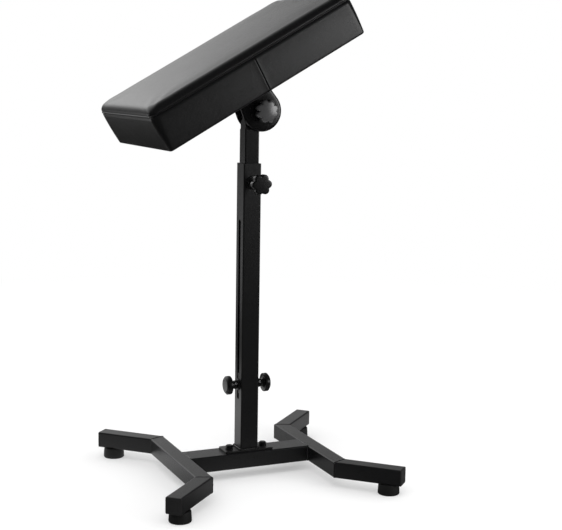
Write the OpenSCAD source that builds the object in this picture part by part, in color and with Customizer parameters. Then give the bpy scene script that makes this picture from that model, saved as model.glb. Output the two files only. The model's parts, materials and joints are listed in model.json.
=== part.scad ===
// Tattoo arm rest stand: an upholstered pad that tilts on a height-adjustable
// square post, over a welded base of square tube with splayed legs.
// Millimetres. The origin is on the floor under the middle of the base,
// X runs along the base beam, Y across it, and Z points up.
// The front of the stand is its -Y side, where the two star knobs are.

/* [Base frame] */
// Side of the square tube of the cross tubes and legs
tube_w = 30; // [24:1:40]
// Wall of the base tubes
tube_wall = 2; // [1.5:0.5:3]
// Outer corner radius of the base tubes
tube_r = 2.5; // [2.1:0.2:4]
// Width of the beam that joins the two cross tubes
beam_w = 50; // [44:1:70]
// Length of the beam between the cross tubes
beam_len = 238; // [160:2:340]
// Length of each cross tube on its inner side
cross_len = 275; // [180:1:360]
// Length of each leg on its short side, with its end plug
leg_len = 117; // [80:1:180]
// Angle of the legs from the beam's direction
leg_angle = 45; // [30:1:60]
// Thickness of the end plugs' caps
plug_cap_t = 3; // [2:0.5:5]
// Depth that the end plugs reach into the legs
plug_depth = 16; // [10:1:25]

/* [Feet] */
// Diameter of the rubber feet at the floor
foot_d = 40; // [32:1:50]
// Height of the rubber feet
foot_h = 20; // [16:1:30]
// Distance from a leg's end to the middle of its foot
foot_inset = 28; // [22:1:40]
// Thread diameter of the foot screws
foot_screw_d = 6; // [5:1:8]

/* [Post] */
// Side of the outer post tube
post_w = 35; // [35:0.5:40]
// Wall of the outer post tube
post_wall = 1.5; // [1.2:0.1:1.6]
// Length of the outer post tube
post_len = 539; // [440:1:700]
// Height of the slots' lower end above the post's foot
slot_low = 95; // [60:5:150]
// Distance between the slots' upper end and the post's top
slot_top_margin = 104; // [92:2:160]
// Width of the two side slots
slot_w = 10; // [9:0.5:12]
// Length of the flange plate under the post
flange_len = 96; // [90:1:120]
// Width of the flange plate
flange_w = 41; // [40:1:44]
// Thickness of the flange plate
flange_t = 4; // [3:0.5:8]
// Distance between the two flange bolts
flange_bolt_pitch = 68; // [64:1:76]
// Thread diameter of the flange bolts
flange_bolt_d = 8; // [6:1:8]
// Distance from the post's top to the clamp screw
clamp_drop = 35; // [26:1:40]
// Length of the plastic guide sleeve in the post's top
sleeve_len = 60; // [50:1:80]

/* [Mast] */
// Side of the inner tube
mast_w = 28; // [27:0.5:28.5]
// Wall of the inner tube
mast_wall = 1.5; // [1.2:0.1:2.5]
// Length of the inner tube above the post's top, as the stand is shown
mast_out = 62; // [56:2:200]
// Height of the slot knobs above the slots' lower end, as the stand is shown
knob_rise = 28; // [10:1:200]
// Height of the slot knobs above the inner tube's lower end
rod_above_end = 15; // [12:1:20]
// Diameter of the rod through the slots
rod_d = 8; // [6:0.5:8]

/* [Slot knobs] */
// Diameter of the slot knobs
slot_knob_d = 35; // [28:1:42]
// Thickness of the slot knobs' grip
slot_knob_grip = 11; // [8:1:16]
// Length of the slot knobs' neck
slot_knob_neck = 12; // [8:1:16]
// Diameter of the collars that ride on the slots' edges
collar_d = 22; // [18:1:28]
// Thickness of those collars
collar_t = 3; // [2:0.5:5]

/* [Star knobs] */
// Diameter of the clamp knob over its lobes
star_d = 39; // [34:1:46]
// Height of the clamp knob
star_h = 30; // [24:1:34]
// Number of lobes on the clamp knob
star_lobes = 6; // [5:1:7]
// Diameter of the tilt knob over its lobes
tilt_knob_d = 43; // [38:1:50]
// Height of the tilt knob
tilt_knob_h = 27; // [24:1:34]
// Number of lobes on the tilt knob
tilt_lobes = 8; // [7:1:9]
// Diameter of the clamp stud
stud_d = 8; // [6:1:8]
// Diameter of the tilt stud
pivot_d = 10; // [8:0.5:12]

/* [Tilt joint] */
// Distance of the pivot from the mast's middle line
pivot_x = 17; // [10:1:22]
// Height of the pivot above the inner tube's top
pivot_rise = 34; // [32:1:45]
// Distance from the pivot to the underside of the pad
pivot_to_pad = 51.5; // [50:0.5:70]
// Radius of the bracket's round ears
ear_r = 38; // [32:1:40]
// Width of the ears where they meet the plate
ear_top_w = 62; // [54:1:76]
// Thickness of the ears
ear_t = 7; // [6.5:0.5:9]
// Radius of the ears' rounded outer edge
ear_edge = 5; // [1:0.5:6]
// Thickness of the plate under the pad
plate_t = 3; // [2:0.5:5]
// Length of that plate along the pad
plate_len = 100; // [90:1:120]
// Width of that plate
plate_w = 90; // [80:1:110]
// Angle of the pad from level, as the stand is shown
pad_tilt = 30; // [0:1:60]

/* [Pad] */
// Length of the pad
pad_len = 420; // [360:1:500]
// Width of the pad
pad_w = 305; // [240:1:340]
// Height of the pad's side, from its underside to the top seam
pad_side_h = 68; // [54:1:80]
// Height of the crown above the seam
pad_crown = 21; // [10:1:30]
// Radius of the pad's corners in plan
pad_corner_r = 14; // [10:1:22]
// Distance of the bracket's middle from the pad's middle, along the pad
pad_offset = 16; // [0:1:30]
// Thickness of the wooden board in the pad
board_t = 12; // [9:1:18]
// Thickness of the leather cover
cover_t = 1.5; // [1:0.1:2]
// Distance between the pad bolts along the pad
pad_bolt_pitch_x = 82; // [78:1:96]
// Distance between the pad bolts across the pad
pad_bolt_pitch_y = 72; // [68:1:90]
// Thread diameter of the pad bolts
pad_bolt_d = 6; // [5:1:6]

/* [Hidden] */

$fn = 64;
// Overrun that every cut takes past the face it opens
over = 1;
// Radial clearance of a screw or rod that turns in a hole of another body
running = 0.05;
// Gap between two flat faces that slide past each other
sliding = 0.2;
// Gap left between pieces of different bodies that face each other
apart = 0.3;
// Radial clearance of a bolt in a plain drilled hole
drilled = 0.2;
// Gap round a piece that is glued or moulded into another of its body
seat = 0.02;
// Factor from a hexagon's width across flats to its circle's radius
hex_share = 0.57735;

// Heights of the base and post above the floor
tube_z = foot_h;
beam_top = tube_z + tube_w;
post_z = beam_top + flange_t;
post_top = post_z + post_len;
slot_z = post_z + slot_low;
slot_len = post_len - slot_low - slot_top_margin;

// Plan of the base: the middle line of a cross tube, and the mitre of its ends
cross_x = beam_len / 2 + tube_w / 2;
mitre_angle = (90 - leg_angle) / 2;
mitre_y = cross_len / 2 - tube_w / 2 * tan(mitre_angle);
// The leg's middle line is this much longer than its short side
leg_mid_len = leg_len + tube_w / 2 * tan(mitre_angle);
leg_tube_len = leg_mid_len - plug_cap_t;

// Heights of the mast, the rod through the slots, and the pivot
rod_z = slot_z + knob_rise;
mast_z = rod_z - rod_above_end;
mast_top = post_top + mast_out;
mast_len = mast_top - mast_z;
pivot_z = mast_top + pivot_rise;
post_bore = post_w - 2 * post_wall;

// Places of the pieces along Y in the tilt joint, outwards from the middle
head_inset = 2;
head_half = mast_w / 2 - head_inset;
ear_in = mast_w / 2 + 2 * sliding;
ear_out = ear_in + ear_t;
pivot_washer_t = 1.5;

// The four corners as signs of X and Y
CORNER_SIGNS = [[-1, -1], [1, -1], [-1, 1], [1, 1]];

// A rounded rectangle as a polygon, centred, with arcs of steps + 1 points
function rounded_rect(w, h, r, steps = 4) = [
    for (c = [[1, 1, 0], [-1, 1, 90], [-1, -1, 180], [1, -1, 270]])
        for (i = [0:steps])
            [c[0] * (w / 2 - r) + r * cos(c[2] + 90 * i / steps),
             c[1] * (h / 2 - r) + r * sin(c[2] + 90 * i / steps)]];

module rounded_bar(w, h, r, len) {
    linear_extrude(height = len)
        polygon(rounded_rect(w, h, r));
}

// A rectangular tube that stands on the XY plane
module tube(w, h, wall, r, len) {
    difference() {
        rounded_bar(w, h, r, len);
        translate([0, 0, -over])
            rounded_bar(w - 2 * wall, h - 2 * wall, r - wall, len + 2 * over);
    }
}

// A disc or ring whose axis points up
module ring(d, bore, h) {
    difference() {
        cylinder(d = d, h = h);
        translate([0, 0, -over])
            cylinder(d = bore, h = h + 2 * over);
    }
}

// A hexagon nut with its corners turned off, standing on the XY plane
module hex_nut(flats, bore, h) {
    difference() {
        intersection() {
            cylinder(r = flats * hex_share, h = h, $fn = 6);
            union() {
                cylinder(d = flats, h = h);
                translate([0, 0, h * 0.15])
                    cylinder(r = flats * hex_share, h = h * 0.7);
            }
        }
        translate([0, 0, -over])
            cylinder(d = bore, h = h + 2 * over);
    }
}

// Turns a piece that points up so that it points along -Y, +Y, -X or +X
module to_front() {
    rotate([90, 0, 0])
        children();
}

module to_back() {
    rotate([-90, 0, 0])
        children();
}

module to_side(side) {
    rotate([0, side * 90, 0])
        children();
}

// Base frame

// Places a leg's frame: its origin is where the middle lines of the leg
// and the cross tube meet, and +X runs out along the leg
module at_leg(sx, sy) {
    translate([sx * cross_x, sy * mitre_y, tube_z + tube_w / 2])
        rotate([0, 0, sy * (sx > 0 ? leg_angle : 180 - leg_angle)])
            children();
}

// Half space that a mitre cuts away, in a frame whose +X runs into the tube
module mitre_cut(turn) {
    rotate([0, 0, turn])
        translate([-2 * tube_w, -2 * tube_w, -tube_w])
            cube([2 * tube_w, 4 * tube_w, 2 * tube_w]);
}

module base_beam() {
    color([0.13, 0.13, 0.14])
        difference() {
            translate([-beam_len / 2, 0, tube_z + tube_w / 2])
                rotate([90, 0, 90])
                    tube(beam_w, tube_w, tube_wall, tube_r, beam_len);
            for (s = [-1, 1])
                translate([s * flange_bolt_pitch / 2, 0, beam_top - tube_wall - over])
                    cylinder(d = beam_nut_d, h = tube_wall + 2 * over);
        }
}

module cross_tube(side) {
    color([0.13, 0.13, 0.14])
        translate([side * cross_x, 0, tube_z + tube_w / 2])
            difference() {
                rotate([90, 0, 0])
                    translate([0, 0, -cross_len / 2 - tube_w])
                        tube(tube_w, tube_w, tube_wall, tube_r, cross_len + 2 * tube_w);
                for (s = [-1, 1])
                    translate([0, s * mitre_y, 0])
                        rotate([0, 0, -s * 90])
                            mitre_cut(-s * side * mitre_angle);
            }
}

module leg(sx, sy) {
    color([0.13, 0.13, 0.14])
        difference() {
            at_leg(sx, sy)
                difference() {
                    translate([-tube_w, 0, 0])
                        rotate([90, 0, 90])
                            tube(tube_w, tube_w, tube_wall, tube_r, leg_tube_len + tube_w);
                    mitre_cut(sx * sy * mitre_angle);
                }
            at_foot(sx, sy)
                translate([0, 0, foot_h - over])
                    cylinder(d = foot_nut_d, h = tube_wall + 2 * over);
        }
}

plug_wall = 2;
plug_rib_t = 1.6;

// Plastic plug with a cap that covers the tube's end and two crossed ribs
module leg_plug(sx, sy) {
    inner = tube_w - 2 * tube_wall - 2 * sliding;
    color([0.08, 0.08, 0.08])
        at_leg(sx, sy)
            translate([leg_tube_len, 0, 0])
                rotate([90, 0, 90]) {
                    hull() {
                        rounded_bar(tube_w, tube_w, tube_r, plug_cap_t * 0.6);
                        rounded_bar(tube_w - plug_cap_t / 2, tube_w - plug_cap_t / 2, tube_r, plug_cap_t);
                    }
                    translate([0, 0, -plug_depth]) {
                        difference() {
                            rounded_bar(inner, inner, tube_r / 2, plug_depth);
                            translate([0, 0, -over])
                                rounded_bar(inner - 2 * plug_wall, inner - 2 * plug_wall, tube_r / 2,
                                            plug_depth + over);
                        }
                        for (turn = [0, 90])
                            rotate([0, 0, turn])
                                translate([-inner / 2 + plug_wall / 2, -plug_rib_t / 2, 0])
                                    cube([inner - plug_wall, plug_rib_t, plug_depth]);
                    }
                }
}

// Feet

// Wall of the blind rivet nuts, and room for a key round the screw's head
nut_wall = 1.5;
foot_key_room = 5;
foot_nut_d = foot_screw_d + 2 * nut_wall;
foot_recess_d = foot_screw_d + 2 * foot_key_room;
foot_recess_h = foot_h * 0.45;
foot_head_h = foot_screw_d * 0.6;

module at_foot(sx, sy) {
    translate([sx * cross_x, sy * mitre_y, 0])
        rotate([0, 0, sy * (sx > 0 ? leg_angle : 180 - leg_angle)])
            translate([leg_mid_len - foot_inset, 0, 0])
                children();
}

// Rubber foot: a slightly tapered drum with a chamfered sole, recessed for
// the screw's head
module foot(sx, sy) {
    edge = foot_h / 10;
    color([0.07, 0.07, 0.07])
        at_foot(sx, sy)
            rotate_extrude()
                polygon([
                    [foot_screw_d / 2 + drilled, foot_recess_h],
                    [foot_recess_d / 2, foot_recess_h],
                    [foot_recess_d / 2, 0],
                    [foot_d / 2 - edge, 0],
                    [foot_d / 2, edge],
                    [foot_d / 2 - edge / 2, foot_h - edge],
                    [foot_d / 2 - edge, foot_h],
                    [foot_screw_d / 2 + drilled, foot_h]]);
}

module foot_screws() {
    color([0.45, 0.45, 0.47])
        for (c = CORNER_SIGNS)
            at_foot(c[0], c[1])
                translate([0, 0, foot_recess_h - foot_head_h])
                    difference() {
                        union() {
                            cylinder(d1 = foot_screw_d * 1.6, d2 = foot_screw_d * 2, h = foot_head_h);
                            cylinder(d = foot_screw_d, h = foot_head_h + foot_h - foot_recess_h + 3 * tube_wall);
                        }
                        translate([0, 0, -over])
                            cylinder(r = foot_screw_d * 0.4 * 2 * hex_share, h = foot_head_h / 2 + over, $fn = 6);
                    }
}

// Blind rivet nuts in the legs' lower walls
module foot_nuts() {
    rim_t = tube_wall / 2;
    color([0.62, 0.62, 0.64])
        for (c = CORNER_SIGNS)
            at_foot(c[0], c[1])
                translate([0, 0, foot_h])
                    difference() {
                        union() {
                            cylinder(d = foot_nut_d - 2 * running, h = 4 * tube_wall);
                            translate([0, 0, tube_wall])
                                cylinder(d = foot_nut_d + 2 * rim_t, h = 2 * rim_t);
                        }
                        translate([0, 0, -over])
                            cylinder(d = foot_screw_d + 2 * running, h = 4 * tube_wall + 2 * over);
                    }
}

// Welds of the base: fillets where the beam meets the cross tubes

weld_leg = 3;

module fillet_bar(len) {
    linear_extrude(height = len)
        polygon([[0, 0], [weld_leg, 0], [weld_leg * 0.6, weld_leg * 0.15],
                 [weld_leg * 0.15, weld_leg * 0.6], [0, weld_leg]]);
}

module base_welds() {
    color([0.16, 0.16, 0.17])
        for (c = CORNER_SIGNS)
            translate([c[0] * beam_len / 2, c[1] * beam_w / 2, tube_z + tube_r])
                mirror([c[0] > 0 ? 1 : 0, 0, 0])
                    mirror([0, c[1] < 0 ? 1 : 0, 0])
                        fillet_bar(tube_w - 2 * tube_r);
}

// Post

beam_nut_d = flange_bolt_d + 2 * nut_wall;
washer_t = 1.6;
bolt_head_h = flange_bolt_d * 0.7;

module post_flange() {
    corner = flange_w / 5;
    color([0.13, 0.13, 0.14])
        translate([0, 0, beam_top])
            difference() {
                rounded_bar(flange_len, flange_w, corner, flange_t);
                for (s = [-1, 1])
                    translate([s * flange_bolt_pitch / 2, 0, -over])
                        cylinder(d = flange_bolt_d + 2 * drilled, h = flange_t + 2 * over);
            }
}

// Weld round the post's foot: a fillet frame with mitred corners
module post_weld() {
    foot_w = min(weld_leg, (flange_w - post_w) / 2);
    color([0.16, 0.16, 0.17])
        translate([0, 0, post_z])
            difference() {
                hull() {
                    rounded_bar(post_w + 2 * foot_w, post_w + 2 * foot_w, tube_r, weld_leg / 10);
                    rounded_bar(post_w + foot_w / 5, post_w + foot_w / 5, tube_r, weld_leg);
                }
                translate([0, 0, -over])
                    rounded_bar(post_w, post_w, tube_r, weld_leg + 2 * over);
            }
}

module at_flange_bolts() {
    for (s = [-1, 1])
        translate([s * flange_bolt_pitch / 2, 0, 0])
            children();
}

module flange_bolts() {
    flats = flange_bolt_d * 1.625;
    color([0.1, 0.1, 0.1])
        at_flange_bolts()
            translate([0, 0, post_z + washer_t]) {
                intersection() {
                    cylinder(r = flats * hex_share, h = bolt_head_h, $fn = 6);
                    cylinder(r1 = flats * hex_share * 1.3, r2 = flats * 0.42, h = bolt_head_h);
                }
                translate([0, 0, -washer_t - flange_t - 3 * tube_wall])
                    cylinder(d = flange_bolt_d, h = washer_t + flange_t + 3 * tube_wall);
            }
}

module flange_washers() {
    color([0.12, 0.12, 0.12])
        at_flange_bolts()
            translate([0, 0, post_z])
                ring(flange_bolt_d * 1.9, flange_bolt_d + 2 * drilled, washer_t);
}

module beam_nuts() {
    color([0.62, 0.62, 0.64])
        at_flange_bolts()
            translate([0, 0, beam_top - 5 * tube_wall])
                difference() {
                    union() {
                        cylinder(d = beam_nut_d - 2 * running, h = 5 * tube_wall);
                        translate([0, 0, 3 * tube_wall])
                            cylinder(d = beam_nut_d + tube_wall, h = tube_wall);
                    }
                    translate([0, 0, -over])
                        cylinder(d = flange_bolt_d + 2 * running, h = 5 * tube_wall + 2 * over);
                }
}

// Height of the clamp screw, and the room round it in the post's wall
clamp_z = post_top - clamp_drop;
clamp_hole_room = 1;
clamp_hole_d = stud_d + 2 * clamp_hole_room;

module outer_post() {
    color([0.13, 0.13, 0.14])
        difference() {
            translate([0, 0, post_z])
                tube(post_w, post_w, post_wall, tube_r, post_len);
            translate([-post_w / 2 - over, 0, 0])
                to_side(1)
                    slot_cutter(post_w + 2 * over);
            translate([0, -post_bore / 2 + over, clamp_z])
                to_front()
                    cylinder(d = clamp_hole_d, h = post_wall + 2 * over);
        }
}

// A bar with round ends that cuts the slots in both side walls, laid out
// along -X so that to_side stands it up at the slots' height
module slot_cutter(depth) {
    low = -slot_z - slot_w / 2;
    high = -slot_z - slot_len + slot_w / 2;
    for (x = [low, high])
        translate([x, 0, 0])
            cylinder(d = slot_w, h = depth);
    translate([high, -slot_w / 2, 0])
        cube([low - high, slot_w, depth]);
}

// Threaded boss that is welded to the front of the post
boss_d = 22;
boss_h = 8;

module clamp_boss() {
    color([0.16, 0.16, 0.17])
        translate([0, -post_w / 2, clamp_z])
            to_front()
                difference() {
                    cylinder(d1 = boss_d, d2 = boss_d - boss_h / 8, h = boss_h);
                    translate([0, 0, -over])
                        cylinder(d = stud_d + 2 * running, h = boss_h + 2 * over);
                }
}

// Plastic sleeve in the post's top that the inner tube slides in
module guide_sleeve() {
    outer = post_bore - sliding;
    inner = mast_w + 2 * sliding;
    color([0.2, 0.2, 0.2])
        difference() {
            translate([0, 0, post_top - sleeve_len - over])
                rounded_bar(outer, outer, tube_r / 2, sleeve_len);
            translate([0, 0, post_top - sleeve_len - 2 * over])
                rounded_bar(inner, inner, tube_r / 2, sleeve_len + 3 * over);
            translate([0, 0, clamp_z])
                to_front()
                    cylinder(d = clamp_hole_d, h = post_w);
        }
}

// Star knobs

// Radius of a lobed outline at an angle: round crests and narrower valleys
function lobed_r(r, depth, lobes, a) = r - depth * (1 - pow(abs(cos(lobes * a / 2)), 0.9));

// The lobed outline as a polygon, with its first crest on the X axis
module lobed_outline(d, lobes, depth) {
    steps = 12 * lobes;
    polygon([for (i = [0:steps - 1])
        let (a = 360 * i / steps)
        [lobed_r(d / 2, depth, lobes, a) * cos(a), lobed_r(d / 2, depth, lobes, a) * sin(a)]]);
}

// A grip with a lobed outline, turned to a domed profile with a rolled edge
module lobed_grip(d, h, lobes, depth, edge) {
    intersection() {
        linear_extrude(height = h)
            lobed_outline(d, lobes, depth);
        rotate_extrude()
            polygon([[0, 0], [d / 2 - edge, 0], [d / 2 - edge * 0.3, edge * 0.3], [d / 2, edge],
                     [d / 2 + over, h * 0.5], [d / 2, h - edge], [d / 2 - edge * 0.3, h - edge * 0.3],
                     [d / 2 - edge, h], [0, h]]);
    }
}

// Wall of the moulded knobs, and the depth of the hollow in their back
knob_wall = 2.5;
knob_hollow = 4;

// A star knob: the grip on a hub, its back hollowed between the hub and the
// lobes with a rib behind each lobe, and a blind hole for its stud
module lobed_knob(d, h, lobes, neck_d, neck_h, bore, bore_depth) {
    depth = d * 0.11;
    difference() {
        union() {
            cylinder(d1 = neck_d, d2 = neck_d * 1.15, h = neck_h);
            translate([0, 0, neck_h])
                difference() {
                    lobed_grip(d, h - neck_h, lobes, depth, (h - neck_h) / 6);
                    translate([0, 0, -over])
                        difference() {
                            linear_extrude(height = knob_hollow + over)
                                lobed_outline(d - 2 * knob_wall, lobes, depth);
                            cylinder(d = neck_d * 1.15, h = knob_hollow + 2 * over);
                            for (i = [0:lobes - 1])
                                rotate([0, 0, i * 360 / lobes])
                                    translate([0, -knob_wall / 4, -over])
                                        cube([d, knob_wall / 2, knob_hollow + 3 * over]);
                        }
                }
        }
        translate([0, 0, -over])
            cylinder(d = bore + seat, h = bore_depth + seat + over);
    }
}

// The clamp knob stands this far in front of its boss
star_gap = 9;
// Turns of the two star knobs, as the stand is shown
star_turn = 4;
tilt_knob_turn = -7.5;
star_neck_d = star_d * 0.42;
star_neck_h = star_h * 0.52;
star_y = post_w / 2 + boss_h + star_gap;
// Depth of each stud in its knob
stud_grip = star_h * 0.6;
stud_tip_y = mast_w / 2 + apart;

module star_knob() {
    color([0.09, 0.09, 0.09])
        translate([0, -star_y, clamp_z])
            to_front()
                rotate([0, 0, star_turn])
                    lobed_knob(star_d, star_h, star_lobes, star_neck_d, star_neck_h, stud_d, stud_grip);
}

module star_knob_stud() {
    len = star_y + stud_grip - stud_tip_y;
    tip = stud_d / 6;
    color([0.6, 0.6, 0.62])
        translate([0, -stud_tip_y, clamp_z])
            to_front()
                rotate_extrude()
                    polygon([[0, 0], [stud_d / 2 - tip, 0], [stud_d / 2, tip],
                             [stud_d / 2, len], [0, len]]);
}

// Mast

module inner_tube() {
    color([0.1, 0.1, 0.11])
        difference() {
            translate([0, 0, mast_z])
                tube(mast_w, mast_w, mast_wall, max(tube_r * 0.8, mast_wall * 1.2), mast_len);
            translate([-mast_w, 0, rod_z])
                to_side(1)
                    cylinder(d = rod_d + 2 * drilled, h = 2 * mast_w);
        }
}

// Plastic shoe round the inner tube's lower end, that slides in the post
guide_h = 2.4 * rod_above_end;
guide_floor_t = 3;

module lower_guide() {
    outer = post_bore - 2 * sliding;
    inner = mast_w + sliding / 2;
    guide_hole = mast_w * 0.7;
    color([0.2, 0.2, 0.2])
        difference() {
            translate([0, 0, mast_z - guide_floor_t])
                rounded_bar(outer, outer, tube_r / 2, guide_h + guide_floor_t);
            translate([0, 0, mast_z])
                rounded_bar(inner, inner, tube_r / 2, guide_h + over);
            translate([0, 0, mast_z - guide_floor_t - over])
                rounded_bar(guide_hole, guide_hole, tube_r / 2, guide_floor_t + 2 * over);
            translate([-post_w, 0, rod_z])
                to_side(1)
                    cylinder(d = rod_d + 2 * drilled, h = 2 * post_w);
        }
}

// Places of the pieces on the rod, outwards from the middle
collar_x = post_w / 2 + sliding / 2;
knob_x = collar_x + collar_t + apart;
slot_knob_len = slot_knob_neck + slot_knob_grip;
rod_end_x = knob_x + slot_knob_len * 0.7;

module slot_rod() {
    color([0.6, 0.6, 0.62])
        translate([-rod_end_x, 0, rod_z])
            to_side(1)
                cylinder(d = rod_d, h = 2 * rod_end_x);
}

// Collar on the slot's edges, with a boss that fits in the slot
module slot_collar(side) {
    boss_len = collar_x - mast_w / 2 - sliding;
    color([0.12, 0.12, 0.12])
        translate([side * collar_x, 0, rod_z])
            to_side(side)
                difference() {
                    union() {
                        cylinder(d1 = collar_d, d2 = collar_d - collar_t / 2, h = collar_t);
                        translate([0, 0, -boss_len + (post_bore - mast_w) / 2])
                            cylinder(d = slot_w - 2 * sliding, h = boss_len);
                    }
                    translate([0, 0, -boss_len - over])
                        cylinder(d = rod_d + running, h = boss_len + collar_t + 2 * over);
                }
}

insert_wall = 2;
insert_d = rod_d + 2 * insert_wall;
cap_t = 1.2;
cap_d = slot_knob_d * 0.72;

// Knob on the rod: a turned neck with a waist flares into a round grip, whose
// front slopes back from the cap to the rim
module slot_knob(side) {
    neck_r = slot_knob_d * 0.235;
    waist_r = neck_r * 0.88;
    waist_z = slot_knob_neck * 0.45;
    grip_r = slot_knob_d / 2;
    back_rim = slot_knob_grip * 0.15;
    front_rim = slot_knob_grip * 0.3;
    cap_lip = cap_t / 2;
    color([0.09, 0.09, 0.09])
        translate([side * knob_x, 0, rod_z])
            to_side(side)
                difference() {
                    rotate_extrude()
                        polygon([[0, 0], [neck_r * 0.92, 0], [neck_r, waist_z * 0.3],
                                 [neck_r, waist_z * 0.8], [waist_r, waist_z],
                                 [waist_r, slot_knob_neck * 0.72], [neck_r, slot_knob_neck * 0.86],
                                 [grip_r - 2 * back_rim, slot_knob_neck],
                                 [grip_r, slot_knob_neck + back_rim],
                                 [grip_r, slot_knob_len - front_rim],
                                 [cap_d / 2 + cap_lip, slot_knob_len],
                                 [0, slot_knob_len]]);
                    translate([0, 0, -over])
                        cylinder(d = insert_d, h = slot_knob_len * 0.75 + over);
                    translate([0, 0, slot_knob_len - cap_t])
                        cylinder(d = cap_d + 2 * seat, h = cap_t + over);
                }
}

module slot_knob_insert(side) {
    color([0.72, 0.6, 0.3])
        translate([side * knob_x, 0, rod_z])
            to_side(side)
                ring(insert_d, rod_d + 2 * running, slot_knob_len * 0.75);
}

module slot_knob_cap(side) {
    color([0.25, 0.25, 0.26])
        translate([side * (knob_x + slot_knob_len - cap_t), 0, rod_z])
            to_side(side) {
                cylinder(d = cap_d, h = cap_t);
                translate([0, 0, cap_t])
                    cylinder(d1 = cap_d, d2 = cap_d - cap_t, h = cap_t / 2);
            }
}

// Tilt joint

head_r = 22;
bush_wall = 2;
// Setback of the lug from the tube's side, and its depth in the tube
head_setback = 1;
spigot_h = 12;

// Steel lug that is welded into the inner tube's top and carries the pivot
module pivot_head() {
    left = mast_w / 2 - head_setback;
    spigot = mast_w - 2 * mast_wall - 2 * sliding;
    shoulder = pivot_rise * 0.25;
    color([0.12, 0.12, 0.13])
        difference() {
            union() {
                translate([0, head_half, 0])
                    to_front()
                        linear_extrude(height = 2 * head_half)
                            polygon(concat(
                                [[-left, mast_top], [left, mast_top]],
                                [for (a = [-50:10:110])
                                    [pivot_x + head_r * cos(a), pivot_z + head_r * sin(a)]],
                                [[-left + shoulder, pivot_z + head_r * sin(110)],
                                 [-left, pivot_z + head_r * sin(110) - shoulder]]));
                translate([0, 0, mast_top - spigot_h])
                    rounded_bar(spigot, spigot, mast_wall, spigot_h);
            }
            translate([pivot_x, head_half + over, pivot_z])
                to_front()
                    cylinder(d = pivot_d + 2 * bush_wall, h = 2 * (head_half + over));
        }
}

module pivot_bush() {
    color([0.75, 0.73, 0.68])
        translate([pivot_x, head_half, pivot_z])
            to_front()
                ring(pivot_d + 2 * bush_wall, pivot_d + 2 * running, 2 * head_half);
}

// The tilting frame: its origin is the pivot, +X runs along the pad
module at_pivot() {
    translate([pivot_x, 0, pivot_z])
        rotate([0, -pad_tilt, 0])
            children();
}

ear_top = pivot_to_pad - plate_t;

// Steps of the ears' rounded outer edge
ear_edge_steps = 4;

// An ear's outline, drawn in by an inset: round about the pivot, with sides
// that lean in up to the plate
module ear_outline(inset) {
    hull() {
        circle(r = ear_r - inset);
        translate([inset - ear_top_w / 2, ear_top - plate_t])
            square([ear_top_w - 2 * inset, plate_t]);
    }
}

// An ear, flat on the inside and rounded round its outer edge
module ear(side) {
    color([0.12, 0.12, 0.13])
        at_pivot()
            mirror([0, side > 0 ? 1 : 0, 0])
                translate([0, -ear_in, 0])
                    to_front()
                        difference() {
                            hull()
                                for (i = [0:ear_edge_steps])
                                    let (turn = 90 * i / ear_edge_steps)
                                        linear_extrude(height = ear_t - ear_edge * (1 - sin(turn)))
                                            ear_outline(ear_edge * (1 - cos(turn)));
                            translate([0, 0, -over])
                                cylinder(d = pivot_d + 2 * running, h = ear_t + 2 * over);
                        }
}

module pad_plate() {
    corner = plate_w / 12;
    color([0.12, 0.12, 0.13])
        at_pivot()
            translate([0, 0, ear_top])
                difference() {
                    rounded_bar(plate_len, plate_w, corner, plate_t);
                    at_pad_bolts()
                        translate([0, 0, -over])
                            cylinder(d = pad_bolt_d + 2 * drilled, h = plate_t + 2 * over);
                }
}

module at_pad_bolts() {
    for (c = CORNER_SIGNS)
        translate([c[0] * pad_bolt_pitch_x / 2, c[1] * pad_bolt_pitch_y / 2, 0])
            children();
}

// Fillets along the ears' outer faces, under the plate
module ear_welds() {
    weld_len = (ear_top_w - 2 * ear_edge) * 0.9;
    color([0.16, 0.16, 0.17])
        at_pivot()
            for (s = [-1, 1])
                mirror([0, s > 0 ? 0 : 1, 0])
                    translate([-weld_len / 2, ear_out, ear_top])
                        rotate([90, 0, 90])
                            mirror([0, 1, 0])
                                fillet_bar(weld_len);
}

friction_d = 30;

module friction_washers() {
    t = ear_in - head_half - running;
    color([0.35, 0.3, 0.25])
        at_pivot()
            for (s = [-1, 1])
                translate([0, s > 0 ? ear_in : -ear_in + t, 0])
                    to_front()
                        ring(friction_d, pivot_d + 4 * running, t);
}

pivot_nut_h = pivot_d * 0.8;

module pivot_nut() {
    color([0.5, 0.5, 0.52])
        at_pivot()
            translate([0, ear_out, 0])
                to_back()
                    hex_nut(pivot_d * 1.7, pivot_d + 2 * running, pivot_nut_h);
}

module tilt_knob_washer() {
    color([0.55, 0.55, 0.57])
        at_pivot()
            translate([0, -ear_out, 0])
                to_front()
                    ring(pivot_d * 2.2, pivot_d + 4 * running, pivot_washer_t);
}

tilt_knob_y = ear_out + pivot_washer_t + apart;
tilt_neck_h = tilt_knob_h * 0.36;
tilt_stud_grip = tilt_knob_h * 0.6;

module tilt_knob() {
    color([0.08, 0.08, 0.08])
        at_pivot()
            translate([0, -tilt_knob_y, 0])
                to_front()
                    rotate([0, 0, tilt_knob_turn])
                        lobed_knob(tilt_knob_d, tilt_knob_h, tilt_lobes, pivot_d * 1.9, tilt_neck_h,
                                   pivot_d, tilt_stud_grip);
}

// Length of stud that stands out of the nut
stud_tail = 2;

module tilt_knob_stud() {
    far = ear_out + pivot_nut_h + stud_tail;
    color([0.6, 0.6, 0.62])
        at_pivot()
            translate([0, far, 0])
                to_front()
                    cylinder(d = pivot_d, h = far + tilt_knob_y + tilt_stud_grip);
}

// Pad

// Heights in the tilting frame
cloth_t = 0.6;
pad_z = pivot_to_pad;
flap_z = pad_z + cloth_t;
board_z = flap_z + cover_t;
foam_z = board_z + board_t;
pad_centre_x = -pad_offset;
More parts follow.
